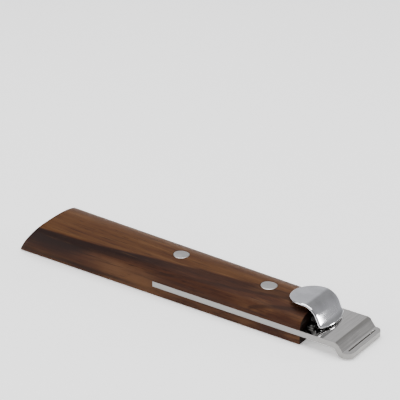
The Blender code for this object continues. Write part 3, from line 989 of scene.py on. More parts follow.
@dataclass
class Handle:
    """The walnut block: D-shaped in section, with a slanting butt and a saw cut for the plate."""

    crown_radius: float = 0.0210
    shoulder_radius: float = 0.0038
    butt_height: float = 0.0150
    head_height: float = 0.0113
    butt_set_back: float = 0.0120
    butt_bow: float = 0.0014
    edge_break: float = 0.00025
    rivet_hole_radius: float = 0.0030
    drill_reach: float = 0.01
    joint_gap: float = 0.00007
    drop_share: float = 0.6
    sharp_angle: float = math.radians(28)
    stations: int = 60
    edge_steps: int = 3
    underside_steps: int = 6
    side_steps: int = 7
    shoulder_steps: int = 10
    crown_steps: int = 18
    low: Vector = field(default_factory=lambda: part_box("handle_block")[0])
    high: Vector = field(default_factory=lambda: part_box("handle_block")[1])

    @property
    def half_width(self) -> float:
        """Half of the handle's width."""
        return self.high.y

    def ridge(self, x: float) -> float:
        """Height of the crown's ridge at x."""
        along = (x - self.low.x) / (self.high.x - self.low.x)
        return self.butt_height + (self.head_height - self.butt_height) * along

    def crown_centre(self, x: float) -> float:
        """Height of the centre of the crown's arc at x."""
        return self.ridge(x) - self.crown_radius

    def half_section(self, x: float, inset: float = 0.0) -> list:
        """The right half of the section at x.

        Args:
            x: the station.
            inset: how far the outline is drawn in.

        Returns:
            Points (y, z) from the middle of the underside round to the ridge.
        """
        half = self.half_width
        centre = self.crown_centre(x)
        shoulder_y = half - self.shoulder_radius
        reach = self.crown_radius - self.shoulder_radius
        shoulder_z = centre + math.sqrt(reach**2 - shoulder_y**2)
        meet = math.atan2(shoulder_z - centre, shoulder_y)
        break_by = self.edge_break
        corner = arc((half - break_by, break_by), break_by - inset, -math.pi / 2, 0.0, self.edge_steps)
        flat = [(corner[0][0] * i / self.underside_steps, inset) for i in range(self.underside_steps)]
        side = shoulder_z - break_by
        upright = [(half - inset, break_by + side * i / self.side_steps) for i in range(1, self.side_steps)]
        shoulder = arc((shoulder_y, shoulder_z), self.shoulder_radius - inset, 0.0, meet, self.shoulder_steps)
        crown = arc((0.0, centre), self.crown_radius - inset, meet, math.pi / 2, self.crown_steps)
        return flat + corner + upright + shoulder + crown[1:]

    def butt_x(self, z: float) -> float:
        """Where the slanting, slightly bowed butt cut stands at height z."""
        t = z / self.butt_height
        return self.low.x + self.butt_set_back * t - 4 * self.butt_bow * t * (1 - t) ** 2

    def block(self) -> bpy.types.Object:
        """The whole block before its cuts.

        Returns:
            A working object.
        """
        bm = bmesh.new()
        rings = []
        broken = self.edge_break
        ends = [(0.0, broken), (broken * 0.3, broken * 0.3), (broken, 0.0)]
        inner = [(broken + (1 - 2 * broken) * i / self.stations, 0.0) for i in range(1, self.stations)]
        marks = [("butt", d, inset) for d, inset in ends]
        marks += [("run", u, inset) for u, inset in inner]
        marks += [("head", d, inset) for d, inset in reversed(ends)]
        for kind, along, inset in marks:
            rings.append(self._ring(bm, kind, along, inset))
        for first, second in zip(rings, rings[1:]):
            join_loops(bm, first, second)
        for ring in (rings[0], rings[-1]):
            self._cap(bm, ring)
        return draft("walnut_handle", bm)

    def _ring(self, bm: bmesh.types.BMesh, kind: str, along: float, inset: float) -> list:
        """One ring of vertices round the block.

        Args:
            bm: the bmesh.
            kind: whether along is a distance from the butt's cut, a share of the run, or from the head.
            along: that distance or share.
            inset: how far the ring is drawn in.

        Returns:
            The ring's vertices.
        """
        span = self.high.x - self.low.x
        guess = {"butt": self.low.x, "run": self.low.x + span * along, "head": self.high.x}[kind]
        ring = []
        half = self.half_section(guess, inset)
        full = half + [(-y, z) for y, z in half[-2:0:-1]]
        for y, z in full:
            cut = self.butt_x(z)
            run = cut + (self.high.x - cut) * along
            x = {"butt": cut + along, "run": run, "head": self.high.x - along}[kind]
            drop = self.ridge(x) - self.ridge(guess)
            lift = max(0.0, min(1.0, (z - self.edge_break) / (self.ridge(guess) * self.drop_share)))
            ring.append(bm.verts.new((x, y, z + drop * lift)))
        return ring

    @staticmethod
    def _cap(bm: bmesh.types.BMesh, ring: list) -> None:
        """Closes an end with strips that run straight across it.

        Args:
            bm: the bmesh.
            ring: the ring round the end.
        """
        count = len(ring)
        for i in range(count // 2):
            corners = [ring[i], ring[i + 1], ring[-i - 1], ring[-i % count]]
            unique = list(dict.fromkeys(corners))
            if len(unique) > 2:
                bm.faces.new(unique)

    def build(self, rivets: "HandleRivets", plate_thickness: float) -> None:
        """Makes the block, saws its slot, drills its rivet holes and dresses it.

        Args:
            rivets: the rivets whose holes are drilled.
            plate_thickness: the thickness of the plate that fills the slot.
        """
        plate_low, plate_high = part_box("blade_plate")
        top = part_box("rivet_front_top")[1].z
        block = self.block()
        gap = self.joint_gap
        bottom = rivets.plate_top - plate_thickness
        slot_low = (plate_low.x - gap, -2 * self.half_width, bottom - gap)
        slot_high = (plate_high.x, 2 * self.half_width, rivets.plate_top + gap)
        cutters = [draft("slot", box_bmesh(slot_low, slot_high))]
        for i, x in enumerate(rivets.places):
            hole = disc_bmesh((x, 0.0), self.rivet_hole_radius, -self.drill_reach, 2 * top)
            cutters.append(draft(f"rivet_hole_{i}", hole))
        mesh = bake(carve(block, cutters))
        mesh.shade_smooth()
        mesh.set_sharp_from_angle(angle=self.sharp_angle)
        walnut = Walnut(head_at=self.high.x * MILLIMETRES).make()
        place_piece("walnut_handle", mesh, walnut, Part.HANDLE, ("handle_block",))


@dataclass
class HandleRivets:
    """Flush rivets: their heads follow the crown above and lie level with the underside."""

    handle: Handle
    head_radius: float = 0.00291
    barrel_radius: float = 0.0018
    head_depth: float = 0.0013
    edge_round: float = 0.00012
    sharp_angle: float = math.radians(50)
    crown_steps: int = 8
    sides: int = 72

    @property
    def places(self) -> list:
        """The rivets' X, rear first."""
        boxes = [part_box("rivet_rear_top"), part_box("rivet_front_top")]
        return [(low.x + high.x) / 2 for low, high in boxes]

    @property
    def plate_top(self) -> float:
        """Height of the plate's upper face where it is level."""
        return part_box("blade_plate")[1].z

    def profile(self) -> bpy.types.Object:
        """Half of a rivet's side view as a line of edges, out from the axis and down.

        Returns:
            A working object that the tree turns about Z.
        """
        r, b, d, e = self.head_radius, self.barrel_radius, self.head_depth, self.edge_round
        crown = [(r * i / self.crown_steps, 0.0) for i in range(self.crown_steps)]
        edge = [(r - e, 0.0), (r - e * 0.3, -e * 0.3), (r, -e)]
        outline = crown + edge + [(r, -d), (b, -d), (b, -2 * d), (0.0, -2 * d)]
        return line_object("rivet_profile", [(x, 0.0, z) for x, z in outline])

    def build(self, finish: bpy.types.Material) -> None:
        """Turns the rivets from their profile with Geometry Nodes and sets them flush.

        Args:
            finish: the rivets' steel.
        """
        first, second = self.places
        tree = GeometryTree("flush_rivets")
        tree.number("Sides", self.sides, whole=True)
        tree.number("Crown Radius", self.handle.crown_radius)
        rise = self.handle.ridge(second) - self.handle.ridge(first)
        tree.number("Ridge Slope", rise / (second - first))
        tree.number("Ridge Height", self.handle.ridge(0.0))
        tree.number("First Place", first)
        tree.number("Spacing", second - first)
        turned = tree.lathe(tree.given("Geometry"), tree.given("Sides"))
        rows = tree.make("GeometryNodeMeshLine", {"mode": "OFFSET"}, {
            "Count": 2,
            "Start Location": tree.vector(tree.given("First Place"), 0.0, 0.0),
            "Offset": tree.vector(tree.given("Spacing"), 0.0, 0.0),
        }, "Mesh")
        upper = tree.stand(rows, turned, (0.0, 0.0, 0.0))
        lower = tree.stand(rows, turned, (math.pi, 0.0, 0.0))
        x, y, z = tree.split(tree.make("GeometryNodeInputPosition"))
        ridge = tree.given("Ridge Height") + x * tree.given("Ridge Slope")
        radius = tree.given("Crown Radius")
        crown = ridge - radius + (radius * radius - y * y).root()
        upper = tree.shift(upper, tree.vector(0.0, 0.0, crown))
        both = tree.join(upper, lower)
        mesh = tree.finish(both, self.profile(), finish)
        mesh.set_sharp_from_angle(angle=self.sharp_angle)
        nodes = tuple(f"rivet_{end}_{half}" for end in ("rear", "front") for half in ("top", "bottom"))
        place_piece("flush_handle_rivets", mesh, finish, Part.HANDLE, nodes)


# ---------------------------------------------------------------------------------------------
# Geometry Nodes
# ---------------------------------------------------------------------------------------------


class GeometryTree(NodeBench):
    """A Geometry Nodes tree with named inputs, run once on an object."""

    def __init__(self, name: str) -> None:
        """Starts a tree with a geometry input and a geometry output.

        Args:
            name: the tree's name.
        """
        super().__init__(bpy.data.node_groups.new(name, "GeometryNodeTree"))
        self.tree.interface.new_socket("Geometry", in_out="INPUT", socket_type="NodeSocketGeometry")
        self.tree.interface.new_socket("Geometry", in_out="OUTPUT", socket_type="NodeSocketGeometry")
        self.source = self.tree.nodes.new("NodeGroupInput")
        self.values = {}

    def number(self, name: str, value: float, whole: bool = False) -> None:
        """Adds a named number input.

        Args:
            name: its name.
            value: what the modifier sets it to.
            whole: whether it is a whole number.
        """
        kind = "NodeSocketInt" if whole else "NodeSocketFloat"
        socket = self.tree.interface.new_socket(name, in_out="INPUT", socket_type=kind)
        self.values[socket.identifier] = value

    def given(self, name: str) -> Socket:
        """A named input."""
        return Socket(self, self.source.outputs[name])

    def vector(self, x: object, y: object, z: object) -> Socket:
        """A vector of three numbers or links."""
        return self.make("ShaderNodeCombineXYZ", {}, {0: x, 1: y, 2: z})

    def lathe(self, profile: Socket, sides: Socket) -> Socket:
        """Turns a profile of edges about Z.

        Args:
            profile: edges in the XZ plane, out from the axis.
            sides: how many sides the turning has.

        Returns:
            The closed solid.
        """
        inputs = {0: sides, 4: 1.0}
        circle = self.make("GeometryNodeCurvePrimitiveCircle", {"mode": "RADIUS"}, inputs, "Curve")
        x, _, z = self.split(self.make("GeometryNodeInputPosition"))
        kept = profile
        for name, value in (("out", x), ("up", z)):
            inputs = {"Geometry": kept, "Name": name, "Value": value}
            settings = {"data_type": "FLOAT", "domain": "POINT"}
            kept = self.make("GeometryNodeStoreNamedAttribute", settings, inputs)
        line = self.make("GeometryNodeMeshToCurve", {}, {"Mesh": kept})
        swept = self.make("GeometryNodeCurveToMesh", {}, {"Curve": line, "Profile Curve": circle})
        out = self.make("GeometryNodeInputNamedAttribute", {"data_type": "FLOAT"}, {"Name": "out"})
        up = self.make("GeometryNodeInputNamedAttribute", {"data_type": "FLOAT"}, {"Name": "up"})
        index = self.make("GeometryNodeInputIndex")
        turn = self.make("ShaderNodeMath", {"operation": "MODULO"}, {0: index, 1: sides}) / sides * math.tau
        cos = self.make("ShaderNodeMath", {"operation": "COSINE"}, {0: turn})
        sin = self.make("ShaderNodeMath", {"operation": "SINE"}, {0: turn})
        place = self.vector(out * cos, out * sin, up)
        placed = self.make("GeometryNodeSetPosition", {}, {"Geometry": swept, "Position": place})
        return self.make("GeometryNodeMergeByDistance", {}, {"Geometry": placed, "Distance": WELD_DISTANCE})

    def stand(self, points: Socket, shape: Socket, turn: tuple) -> Socket:
        """Stands a copy of a shape on each point.

        Args:
            points: where the copies stand.
            shape: what is copied.
            turn: each copy's turn about X, Y and Z.

        Returns:
            The copies as real geometry.
        """
        rotation = self.make("FunctionNodeEulerToRotation", {}, {0: turn})
        inputs = {"Points": points, "Instance": shape, "Rotation": rotation}
        stood = self.make("GeometryNodeInstanceOnPoints", {}, inputs)
        return self.make("GeometryNodeRealizeInstances", {}, {"Geometry": stood})

    def shift(self, geometry: Socket, offset: Socket) -> Socket:
        """Moves each point by an offset."""
        return self.make("GeometryNodeSetPosition", {}, {"Geometry": geometry, "Offset": offset})

    def join(self, *parts: Socket) -> Socket:
        """Joins several geometries.

        Args:
            *parts: the geometries.

        Returns:
            All of them as one.
        """
        node = self.add("GeometryNodeJoinGeometry")
        for part in parts:
            self.plug(node.inputs[0], part)
        return Socket(self, node.outputs[0])

    def finish(self, result: Socket, obj: bpy.types.Object, material: bpy.types.Material) -> bpy.types.Mesh:
        """Ends the tree, runs it on an object and turns the outcome into a plain mesh.

        Args:
            result: the geometry that leaves the tree.
            obj: the object that it starts from, which is removed.
            material: what the result is made of.

        Returns:
            The mesh, smooth shaded.
        """
        real = self.make("GeometryNodeRealizeInstances", {}, {"Geometry": result})
        dressed = self.make("GeometryNodeSetMaterial", {}, {"Geometry": real, "Material": material})
        self.add("NodeGroupOutput", {}, {0: dressed})
        modifier = obj.modifiers.new(self.tree.name, "NODES")
        modifier.node_group = self.tree
        for identifier, value in self.values.items():
            modifier[identifier] = value
        mesh = bake(obj)
        bm = bmesh.new()
        bm.from_mesh(mesh)
        pour(bm, mesh)
        mesh.shade_smooth()
        return mesh


# ---------------------------------------------------------------------------------------------
# Blade plate
# ---------------------------------------------------------------------------------------------


@dataclass
class BladePlate:
    """The full-width steel plate with its S-bend and its grooved lip."""

    thickness: float = 0.0020
    joggle_start: float = 0.01309
    joggle_drop: float = 0.0029
    joggle_angle: float = math.radians(52)
    joggle_radius: float = 0.0010
    corner_radius: float = 0.0026
    groove_back: float = 0.0019
    groove_width: float = 0.0005
    groove_depth: float = 0.0010
    groove_half_length: float = 0.0088
    edge_round: float = 0.00022
    rivet_clearance: float = 0.0001
    small_hole_radius: float = 0.00065
    small_hole_sides: int = 24
    level_steps: int = 24
    bend_steps: int = 14
    slope_steps: int = 3
    lip_steps: int = 4
    corner_steps: int = 12
    groove_end_steps: int = 8
    rounding_steps: int = 3
    rounding_angle: float = math.radians(40)

    def path(self) -> PathWalker:
        """The side view through the middle of the sheet.

        Returns:
            The path.
        """
        low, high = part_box("blade_plate")
        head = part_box("handle_block")[1].x
        middle = high.z - self.thickness / 2
        fall = self.joggle_drop - 2 * self.joggle_radius * (1 - math.cos(self.joggle_angle))
        walker = PathWalker(low.x, middle, 0.0)
        walker.straight(head + self.joggle_start - low.x, self.level_steps)
        walker.bend(self.joggle_radius, self.joggle_angle, self.bend_steps)
        walker.straight(fall / math.sin(self.joggle_angle), self.slope_steps)
        walker.bend(self.joggle_radius, 0.0, self.bend_steps)
        rest = high.x - walker.points[-1][0]
        return walker.straight(rest - self.corner_radius, self.lip_steps)

    def build(self, finish: bpy.types.Material, rivets: HandleRivets) -> None:
        """Makes the plate, cuts its groove and holes and dresses it.

        Args:
            finish: the plate's steel.
            rivets: the rivets that pass through it.
        """
        low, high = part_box("blade_plate")
        path = self.path()
        half = self.thickness / 2
        stations = [(x, z, angle, high.y) for x, z, angle in path.points]
        lip_z = path.points[-1][1]
        corner_x = high.x - self.corner_radius
        for step in range(1, self.corner_steps + 1):
            turn = math.pi / 2 * step / self.corner_steps
            x = corner_x + self.corner_radius * math.sin(turn)
            reach = high.y - self.corner_radius * (1 - math.cos(turn))
            stations.append((x, lip_z, 0.0, reach))
        bm = bmesh.new()
        rings = []
        for x, z, angle, reach in stations:
            up_x, up_z = x + half * math.sin(angle), z + half * math.cos(angle)
            down_x, down_z = x - half * math.sin(angle), z - half * math.cos(angle)
            corners = [(up_x, -reach, up_z), (up_x, reach, up_z), (down_x, reach, down_z)]
            corners.append((down_x, -reach, down_z))
            rings.append([bm.verts.new(corner) for corner in corners])
        for first, second in zip(rings, rings[1:]):
            join_loops(bm, first, second)
        bm.faces.new(rings[0])
        bm.faces.new(rings[-1][::-1])
        plate = draft("steel_plate", bm)
        groove_x = high.x - self.groove_back
        lip_top = lip_z + half
        cutters = [self._groove(groove_x, lip_top)]
        for i, x in enumerate(rivets.places):
            hole = disc_bmesh((x, 0.0), rivets.barrel_radius + self.rivet_clearance, 0.0, 2 * high.z)
            cutters.append(draft(f"plate_hole_{i}", hole))
        for name in ("bracket_rivet_near", "bracket_rivet_far"):
            small_low, small_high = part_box(name)
            middle = (small_low + small_high) / 2
            sides = self.small_hole_sides
            hole = disc_bmesh((middle.x, middle.y), self.small_hole_radius, 0.0, 2 * high.z, sides)
            cutters.append(draft(f"{name}_hole", hole))
        mesh = soften(carve(plate, cutters), self.edge_round, self.rounding_steps, self.rounding_angle)
        place_piece("steel_plate", mesh, finish, Part.HANDLE, ("blade_plate",))

    def _groove(self, x: float, top: float) -> bpy.types.Object:
        """A round-ended bar that cuts the lip's groove.

        Args:
            x: the groove's place along the plate.
            top: the height of the lip's upper face.

        Returns:
            A working object.
        """
        half = self.groove_width / 2
        reach = self.groove_half_length - half
        outline = arc((x, reach), half, 0.0, math.pi, self.groove_end_steps)
        outline += arc((x, -reach), half, math.pi, math.tau, self.groove_end_steps)
        return draft("lip_groove", column_bmesh(outline, top - self.groove_depth, top + self.groove_depth))


# ---------------------------------------------------------------------------------------------
# Thumb clip
# ---------------------------------------------------------------------------------------------


@dataclass
class ThumbLever:
    """The chromed sheet: a round lobe for the thumb, a slope, and a toe with an arched front."""

    half_width: float = 0.0076
    lobe_reach: float = 0.0077
    toe_front_radius: float = 0.0178
    corner_radius: float = 0.0009
    thickness: float = 0.0009
    rim_share: float = 1.5
    columns: int = 40
    rim_steps: int = 12
    lobe_steps: int = 48
    side_steps: int = 60
    corner_steps: int = 8
    front_steps: int = 20
    straight_steps: int = 6
    upper_steps: int = 120
    lower_steps: int = 60
    toe_steps: int = 4
    lobe_tilt: float = math.radians(-4.0)
    slope_angle: float = math.radians(64)
    toe_angle: float = math.radians(6)
    upper_radius: float = 0.0062
    lower_radius: float = 0.0024
    toe_length: float = 0.0006
    lobe_z: float = 0.01305
    toe_z: float = 0.00612
    slope_dome: float = 0.00026

    def path(self, start_x: float, end_x: float) -> PathWalker:
        """The side view through the middle of the sheet, from the lobe's tip to the toe.

        Args:
            start_x: the tip of the lobe.
            end_x: the front of the toe.

        Returns:
            The path.
        """
        tilt, slope, toe = self.lobe_tilt, self.slope_angle, self.toe_angle
        fall = self.lobe_z - self.toe_z - self.upper_radius * (math.cos(tilt) - math.cos(slope))
        fall -= self.lower_radius * (math.cos(toe) - math.cos(slope)) + self.toe_length * math.sin(toe)
        slant = fall / math.sin(slope)
        run = self.upper_radius * (math.sin(slope) - math.sin(tilt)) + slant * math.cos(slope)
        run += self.lower_radius * (math.sin(slope) - math.sin(toe)) + self.toe_length * math.cos(toe)
        lobe = end_x - run - start_x
        walker = PathWalker(start_x, self.lobe_z + lobe * math.tan(tilt), tilt)
        walker.straight(lobe / math.cos(tilt), self.straight_steps)
        walker.bend(self.upper_radius, slope, self.upper_steps)
        walker.straight(slant, self.straight_steps)
        walker.bend(self.lower_radius, toe, self.lower_steps)
        return walker.straight(self.toe_length, self.toe_steps)

    def half_outline(self, centre_x: float, front_x: float, inset: float) -> list:
        """The +Y half of the sheet's outline in plan, drawn in, with its outward directions.

        Args:
            centre_x: the centre of the lobe's round end.
            front_x: the front of the toe.
            inset: how far the outline is drawn in.

        Returns:
            Points (x, y, outward x, outward y), from the lobe's tip to the middle of the toe.
        """
        points = []
        for i in range(self.lobe_steps + 1):
            turn = math.pi - math.pi / 2 * i / self.lobe_steps
            c, s = math.cos(turn), math.sin(turn)
            points.append((centre_x + (self.lobe_reach - inset) * c, (self.half_width - inset) * s, c, s))
        arc_x = front_x - self.toe_front_radius
        corner_y = self.half_width - self.corner_radius
        inner = self.toe_front_radius - self.corner_radius
        corner_x = arc_x + math.sqrt(inner**2 - corner_y**2)
        meet = math.atan2(corner_y, corner_x - arc_x)
        for i in range(1, self.side_steps):
            x = centre_x + (corner_x - centre_x) * i / self.side_steps
            points.append((x, self.half_width - inset, 0.0, 1.0))
        for i in range(self.corner_steps + 1):
            turn = math.pi / 2 + (meet - math.pi / 2) * i / self.corner_steps
            c, s = math.cos(turn), math.sin(turn)
            reach = self.corner_radius - inset
            points.append((corner_x + reach * c, corner_y + reach * s, c, s))
        for i in range(1, self.front_steps + 1):
            turn = meet * (1 - i / self.front_steps)
            c, s = math.cos(turn), math.sin(turn)
            reach = self.toe_front_radius - inset
            points.append((arc_x + reach * c, reach * s, c, s))
        return points

    def spot(self, path: PathWalker, x: float, y: float, height: float) -> tuple:
        """A point of the bent sheet.

        Args:
            path: the side view.
            x: its place in plan.
            y: its place across.
            height: how far it stands off the middle of the sheet.

        Returns:
            The point, lifted on the slope by its slight dome.
        """
        z, angle = path.at(x)
        lift = height + self.slope_dome * math.sin(angle) ** 2 * (1 - (y / self.half_width) ** 2)
        return x + lift * math.sin(angle), y, z + lift * math.cos(angle)

    def build(self) -> None:
        """Makes the sheet from rows across it, rounds its rim and chromes it."""
        low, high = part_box("thumb_lever")
        half = self.thickness / 2
        rim = half * self.rim_share
        centre_x = low.x + self.lobe_reach
        path = self.path(low.x, high.x)
        edge = self.half_outline(centre_x, high.x, rim)
        bm = bmesh.new()
        for side in (1.0, -1.0):
            rows = []
            for x, y, _, _ in edge:
                across = [y * (2 * j / self.columns - 1) for j in range(self.columns + 1)]
                rows.append([bm.verts.new(self.spot(path, x, v, side * half)) for v in across])
            for first, second in zip(rows, rows[1:]):
                join_loops(bm, first, second, closed=False)
        mirrored = [(x, -y, out_x, -out_y) for x, y, out_x, out_y in edge[-2:0:-1]]
        loops = []
        for i in range(self.rim_steps + 1):
            turn = math.pi * i / self.rim_steps
            out, height = rim * math.sin(turn), half * math.cos(turn)
            ring = [(x + ox * out, y + oy * out) for x, y, ox, oy in edge + mirrored]
            loops.append([bm.verts.new(self.spot(path, x, y, height)) for x, y in ring])
        for first, second in zip(loops, loops[1:]):
            join_loops(bm, first, second)
        mesh = bake(draft("chrome_lever", bm))
        mesh.shade_smooth()
        place_piece("chrome_lever", mesh, PolishedChrome().make(), Part.LEVER, ("thumb_lever",))


@dataclass
class PivotSet:
    """What the lever turns on: bracket, lugs, pin, retaining rings, small rivets and the spring."""

    wire_radius: float = 0.00022
    coil_radius: float = 0.00125
    whole_turns: int = 3
    pitch: float = 0.0006
    foot_length: float = 0.0015
    rise_angle: float = math.radians(35)
    rise_length: float = 0.0037
    points_per_turn: int = 40
    wire_sides: int = 16
    wire_sharp_angle: float = math.radians(60)
    ring_width: float = 0.00075
    ring_gap: float = math.radians(40)
    ring_corner: float = 0.00008
    ring_corner_steps: int = 3
    ring_steps: int = 60
    ring_sharp_angle: float = math.radians(40)
    shank_share: float = 0.6
    dome_height: float = 0.0004
    dome_steps: int = 10
    rivet_sides: int = 32
    rivet_sharp_angle: float = math.radians(50)

    @property
    def pivot(self) -> Vector:
        """The middle of the pin."""
        low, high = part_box("pivot_pin")
        return (low + high) / 2

    @staticmethod
    def dress_cad(steel: bpy.types.Material) -> None:
        """Gives the CAD bracket, lugs and pin their steel.

        Args:
            steel: their steel.
        """
        # the steel given here is near black: painted shade of the hollow under the lever
        for name in ("pivot_bracket", "lever_lug_near", "lever_lug_far", "pivot_pin"):
            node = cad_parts[name]
            for material_slot in node.material_slots:
                material_slot.material = steel
            log.info("%s: CAD node dressed", name)

    def spring_route(self) -> list:
        """The wire's middle: a foot, the coil round the pin and a leg up to the lever.

        Returns:
            Its points in order.
        """
        centre = self.pivot
        start = -math.pi / 2
        sweep = math.tau * self.whole_turns + self.rise_angle - start
        count = round(self.points_per_turn * sweep / math.tau)
        width = self.pitch * sweep / math.tau
        coil = []
        for i in range(count + 1):
            turn = start + sweep * i / count
            x = centre.x + self.coil_radius * math.cos(turn)
            z = centre.z + self.coil_radius * math.sin(turn)
            coil.append((x, width * (i / count - 0.5), z))
        first, last = coil[0], coil[-1]
        foot = (first[0] - self.foot_length, first[1], first[2])
        rise_x = last[0] - self.rise_length * math.sin(self.rise_angle)
        rise_z = last[2] + self.rise_length * math.cos(self.rise_angle)
        return [foot] + coil + [(rise_x, last[1], rise_z)]

    def build_spring(self) -> None:
        """Sweeps the wire along its route with Geometry Nodes."""
        obj = line_object("spring_route", self.spring_route())
        finish = DrawnWire().make()
        tree = GeometryTree("wire_sweep")
        tree.number("Wire Radius", self.wire_radius)
        tree.number("Wire Sides", self.wire_sides, whole=True)
        line = tree.make("GeometryNodeMeshToCurve", {}, {"Mesh": tree.given("Geometry")})
        circle = tree.make("GeometryNodeCurvePrimitiveCircle", {"mode": "RADIUS"}, {
            0: tree.given("Wire Sides"), 4: tree.given("Wire Radius")}, "Curve")
        inputs = {"Curve": line, "Profile Curve": circle, "Fill Caps": True}
        swept = tree.make("GeometryNodeCurveToMesh", {}, inputs)
        wire = tree.finish(swept, obj, finish)
        wire.set_sharp_from_angle(angle=self.wire_sharp_angle)
        place_piece("torsion_spring_wire", wire, finish, Part.HANDLE, ("torsion_spring",))

    def build_rings(self) -> None:
        """Bends both retaining rings from one arc of wire-like section with Geometry Nodes."""
        low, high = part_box("pin_ring_far")
        thick = high.y - low.y
        outer = (high.x - low.x) / 2
        middle = outer - self.ring_width / 2
        start = -math.pi / 2 + self.ring_gap
        points = arc((0.0, 0.0), middle, start, math.pi - start, self.ring_steps)
        obj = line_object("ring_arc", [(x, 0.0, z) for x, z in points])
        finish = DrawnWire("ring_steel").make()
        tree = GeometryTree("retaining_rings")
        tree.number("Ring Width", self.ring_width)
        tree.number("Ring Thickness", thick)
        tree.number("Ring Place", (low.y + high.y) / 2)
        tree.number("Corner Round", self.ring_corner)
        flat = tree.make("GeometryNodeCurvePrimitiveQuadrilateral", {"mode": "RECTANGLE"}, {
            "Width": tree.given("Ring Width"), "Height": tree.given("Ring Thickness")})
        rounded = tree.make("GeometryNodeFilletCurve", {"mode": "POLY"}, {
            "Curve": flat, "Count": self.ring_corner_steps, "Radius": tree.given("Corner Round")})
        line = tree.make("GeometryNodeMeshToCurve", {}, {"Mesh": tree.given("Geometry")})
        inputs = {"Curve": line, "Profile Curve": rounded, "Fill Caps": True}
        ring = tree.make("GeometryNodeCurveToMesh", {}, inputs)
        x, z = self.pivot.x, self.pivot.z
        place = tree.given("Ring Place")
        offsets = [tree.vector(x, place * sign, z) for sign in (-1.0, 1.0)]
        both = tree.join(*[tree.shift(ring, offset) for offset in offsets])
        rings = tree.finish(both, obj, finish)
        rings.set_sharp_from_angle(angle=self.ring_sharp_angle)
        nodes = ("pin_ring_near", "pin_ring_far")
        place_piece("retaining_rings", rings, finish, Part.HANDLE, nodes)

    def build_bracket_rivets(self, finish: bpy.types.Material) -> None:
        """Turns both small domed rivets from one profile with Geometry Nodes.

        Args:
            finish: their steel.
        """
        low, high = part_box("bracket_rivet_far")
        radius = (high.x - low.x) / 2
        shank = radius * self.shank_share
        shoulder = high.z - self.dome_height
        quarter = arc((0.0, 0.0), 1.0, math.pi / 2, 0.0, self.dome_steps)
        outline = [(radius * across, shoulder + self.dome_height * up) for across, up in quarter]
        outline += [(shank, shoulder), (shank, low.z), (0.0, low.z)]
        obj = line_object("small_rivet_profile", [(x, 0.0, z) for x, z in outline])
        tree = GeometryTree("small_rivets")
        tree.number("Sides", self.rivet_sides, whole=True)
        tree.number("Along", (low.x + high.x) / 2)
        tree.number("Across", (low.y + high.y) / 2)
        turned = tree.lathe(tree.given("Geometry"), tree.given("Sides"))
        start = tree.vector(tree.given("Along"), -tree.given("Across"), 0.0)
        step = tree.vector(0.0, 2.0 * tree.given("Across"), 0.0)
        rows = tree.make("GeometryNodeMeshLine", {"mode": "OFFSET"}, {
            "Count": 2, "Start Location": start, "Offset": step}, "Mesh")
        pair = tree.stand(rows, turned, (0.0, 0.0, 0.0))
        rivets = tree.finish(pair, obj, finish)
        rivets.set_sharp_from_angle(angle=self.rivet_sharp_angle)
        nodes = ("bracket_rivet_near", "bracket_rivet_far")
        place_piece("bracket_rivets", rivets, finish, Part.HANDLE, nodes)


# ---------------------------------------------------------------------------------------------
# Studio
# ---------------------------------------------------------------------------------------------


@dataclass(frozen=True)
class Softbox:
    """A rectangular lamp: its name, its place, its width and height, and its power in watts."""

    name: str
    place: tuple
    size: tuple
    power: float


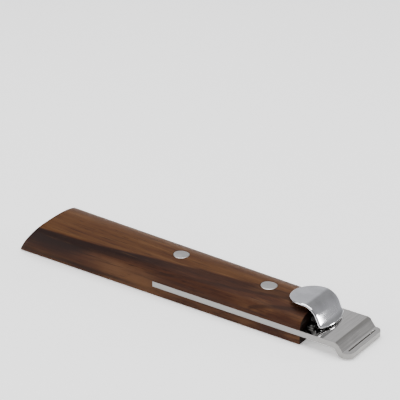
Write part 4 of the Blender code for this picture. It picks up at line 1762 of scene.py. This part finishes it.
@dataclass
class Studio:
    """A pale floor, soft light from above and the sides, and the camera.

    The room's stops give its colour from left to right, and its fade from front to back.
    """

    floor_radius: float = 2.5
    floor_sides: int = 96
    floor_gap: float = 0.0002
    sensor: float = 36.0
    lens: float = 135.1
    eye: tuple = (0.278608, -0.384641, 0.249799)
    elevation: float = math.radians(24.319)
    azimuth: float = math.radians(35.55)
    room_left: tuple = (0.72, 0.72, 0.74)
    room_middle: tuple = (0.37, 0.37, 0.37)
    room_right: tuple = (0.44, 0.44, 0.45)
    room_stops: tuple = (0.0, 0.32, 0.41, 0.62, 0.76, 1.0)
    fade_stops: tuple = ((0.0, 0.55), (0.35, 0.42), (0.62, 1.0), (1.0, 1.0))
    lamps: tuple = (
        Softbox("overhead", (0.0, 0.0, 0.9), (1.0, 0.9), 15.0),
        Softbox("front_left", (-0.45, -0.55, 0.35), (0.5, 0.5), 2.8),
        Softbox("right_window", (0.88, 0.67, 0.20), (0.20, 0.32), 7.0),
    )

    def build(self) -> None:
        """Makes the floor, the world, the lights and the camera."""
        self.floor()
        self.world()
        for softbox in self.lamps:
            self.lamp(softbox)
        self.camera()

    def floor(self) -> None:
        """A round sheet of white paper under the lame."""
        bm = bmesh.new()
        bmesh.ops.create_circle(bm, cap_ends=True, segments=self.floor_sides, radius=self.floor_radius)
        mesh = bpy.data.meshes.new("studio_floor")
        bm.to_mesh(mesh)
        bm.free()
        mesh.materials.append(StudioPaper().make())
        floor = link("studio_floor", mesh)
        floor.location.z = CAD_BOX[0].z - self.floor_gap

    def world(self) -> None:
        """A soft grey room: paler to the left, darker to the right and in front."""
        world = bpy.data.worlds.new("studio_room")
        world.use_nodes = True
        bpy.context.scene.world = world
        bench = NodeBench(world.node_tree)
        place = bench.make("ShaderNodeTexCoord", output="Generated")
        x, y, _ = bench.split(place)
        colours = [colour for colour in (self.room_left, self.room_middle, self.room_right) for _ in range(2)]
        side = tuple(zip(self.room_stops, colours))
        depth = tuple((stop, (level, level, level)) for stop, level in self.fade_stops)
        across = bench.make("ShaderNodeValToRGB", {"stops": side}, {"Fac": x * 0.5 + 0.5})
        away = bench.make("ShaderNodeValToRGB", {"stops": depth}, {"Fac": y * 0.5 + 0.5})
        settings = {"data_type": "RGBA", "blend_type": "MULTIPLY"}
        colour = bench.make("ShaderNodeMix", settings, {0: 1.0, 6: across, 7: away}, 2)
        background = world.node_tree.nodes["Background"]
        bench.plug(background.inputs["Color"], colour)
        bench.plug(background.inputs["Strength"], 1.0)

    @staticmethod
    def lamp(softbox: Softbox) -> None:
        """Hangs a softbox and aims it at the lame.

        Args:
            softbox: the lamp.
        """
        light = bpy.data.lights.new(softbox.name, "AREA")
        light.shape = "RECTANGLE"
        light.size, light.size_y = softbox.size
        light.energy = softbox.power
        lamp = link(softbox.name, light)
        lamp.location = softbox.place
        lamp.rotation_mode = "QUATERNION"
        lamp.rotation_quaternion = (-Vector(softbox.place)).to_track_quat("-Z", "Y")

    def camera(self) -> None:
        """The camera, looking down on the lame from its front right."""
        data = bpy.data.cameras.new("camera")
        data.sensor_width = self.sensor
        data.lens = self.lens
        camera = link("camera", data)
        camera.location = self.eye
        camera.rotation_euler = (math.pi / 2 - self.elevation, 0.0, self.azimuth)
        bpy.context.scene.camera = camera


def main() -> None:
    """Builds the lame's sub-assemblies in order, and then the studio."""
    logging.basicConfig(level=logging.INFO, format="%(message)s")
    plate = BladePlate()
    plate_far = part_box("blade_plate")[1]
    plate_edge = SheetEdge(plate_far.x, plate_far.y, plate.corner_radius)
    plate_steel = BrushedSteel("satin_plate_steel", edge=plate_edge).make()
    rivet_steel = BrushedSteel(
        "ground_rivet_steel", colour=(0.50, 0.49, 0.48), roughness=0.30, grain=(900.0, 2600.0, 900.0)
    ).make()
    # near-black steel for the bracket, lugs, pin and small rivets: painted shade of the dark hollow under the
    # lever
    bracket_steel = BrushedSteel(
        "shade_dark_bracket_steel", colour=(0.09, 0.09, 0.088), roughness=0.36, grain=(900.0, 900.0, 2600.0)
    ).make()
    handle = Handle()
    rivets = HandleRivets(handle)
    handle.build(rivets, plate.thickness)
    rivets.build(rivet_steel)
    plate.build(plate_steel, rivets)
    ThumbLever().build()
    pivot = PivotSet()
    pivot.dress_cad(bracket_steel)
    pivot.build_spring()
    pivot.build_rings()
    pivot.build_bracket_rivets(bracket_steel)
    Studio().build()


if __name__ == "__main__":
    main()
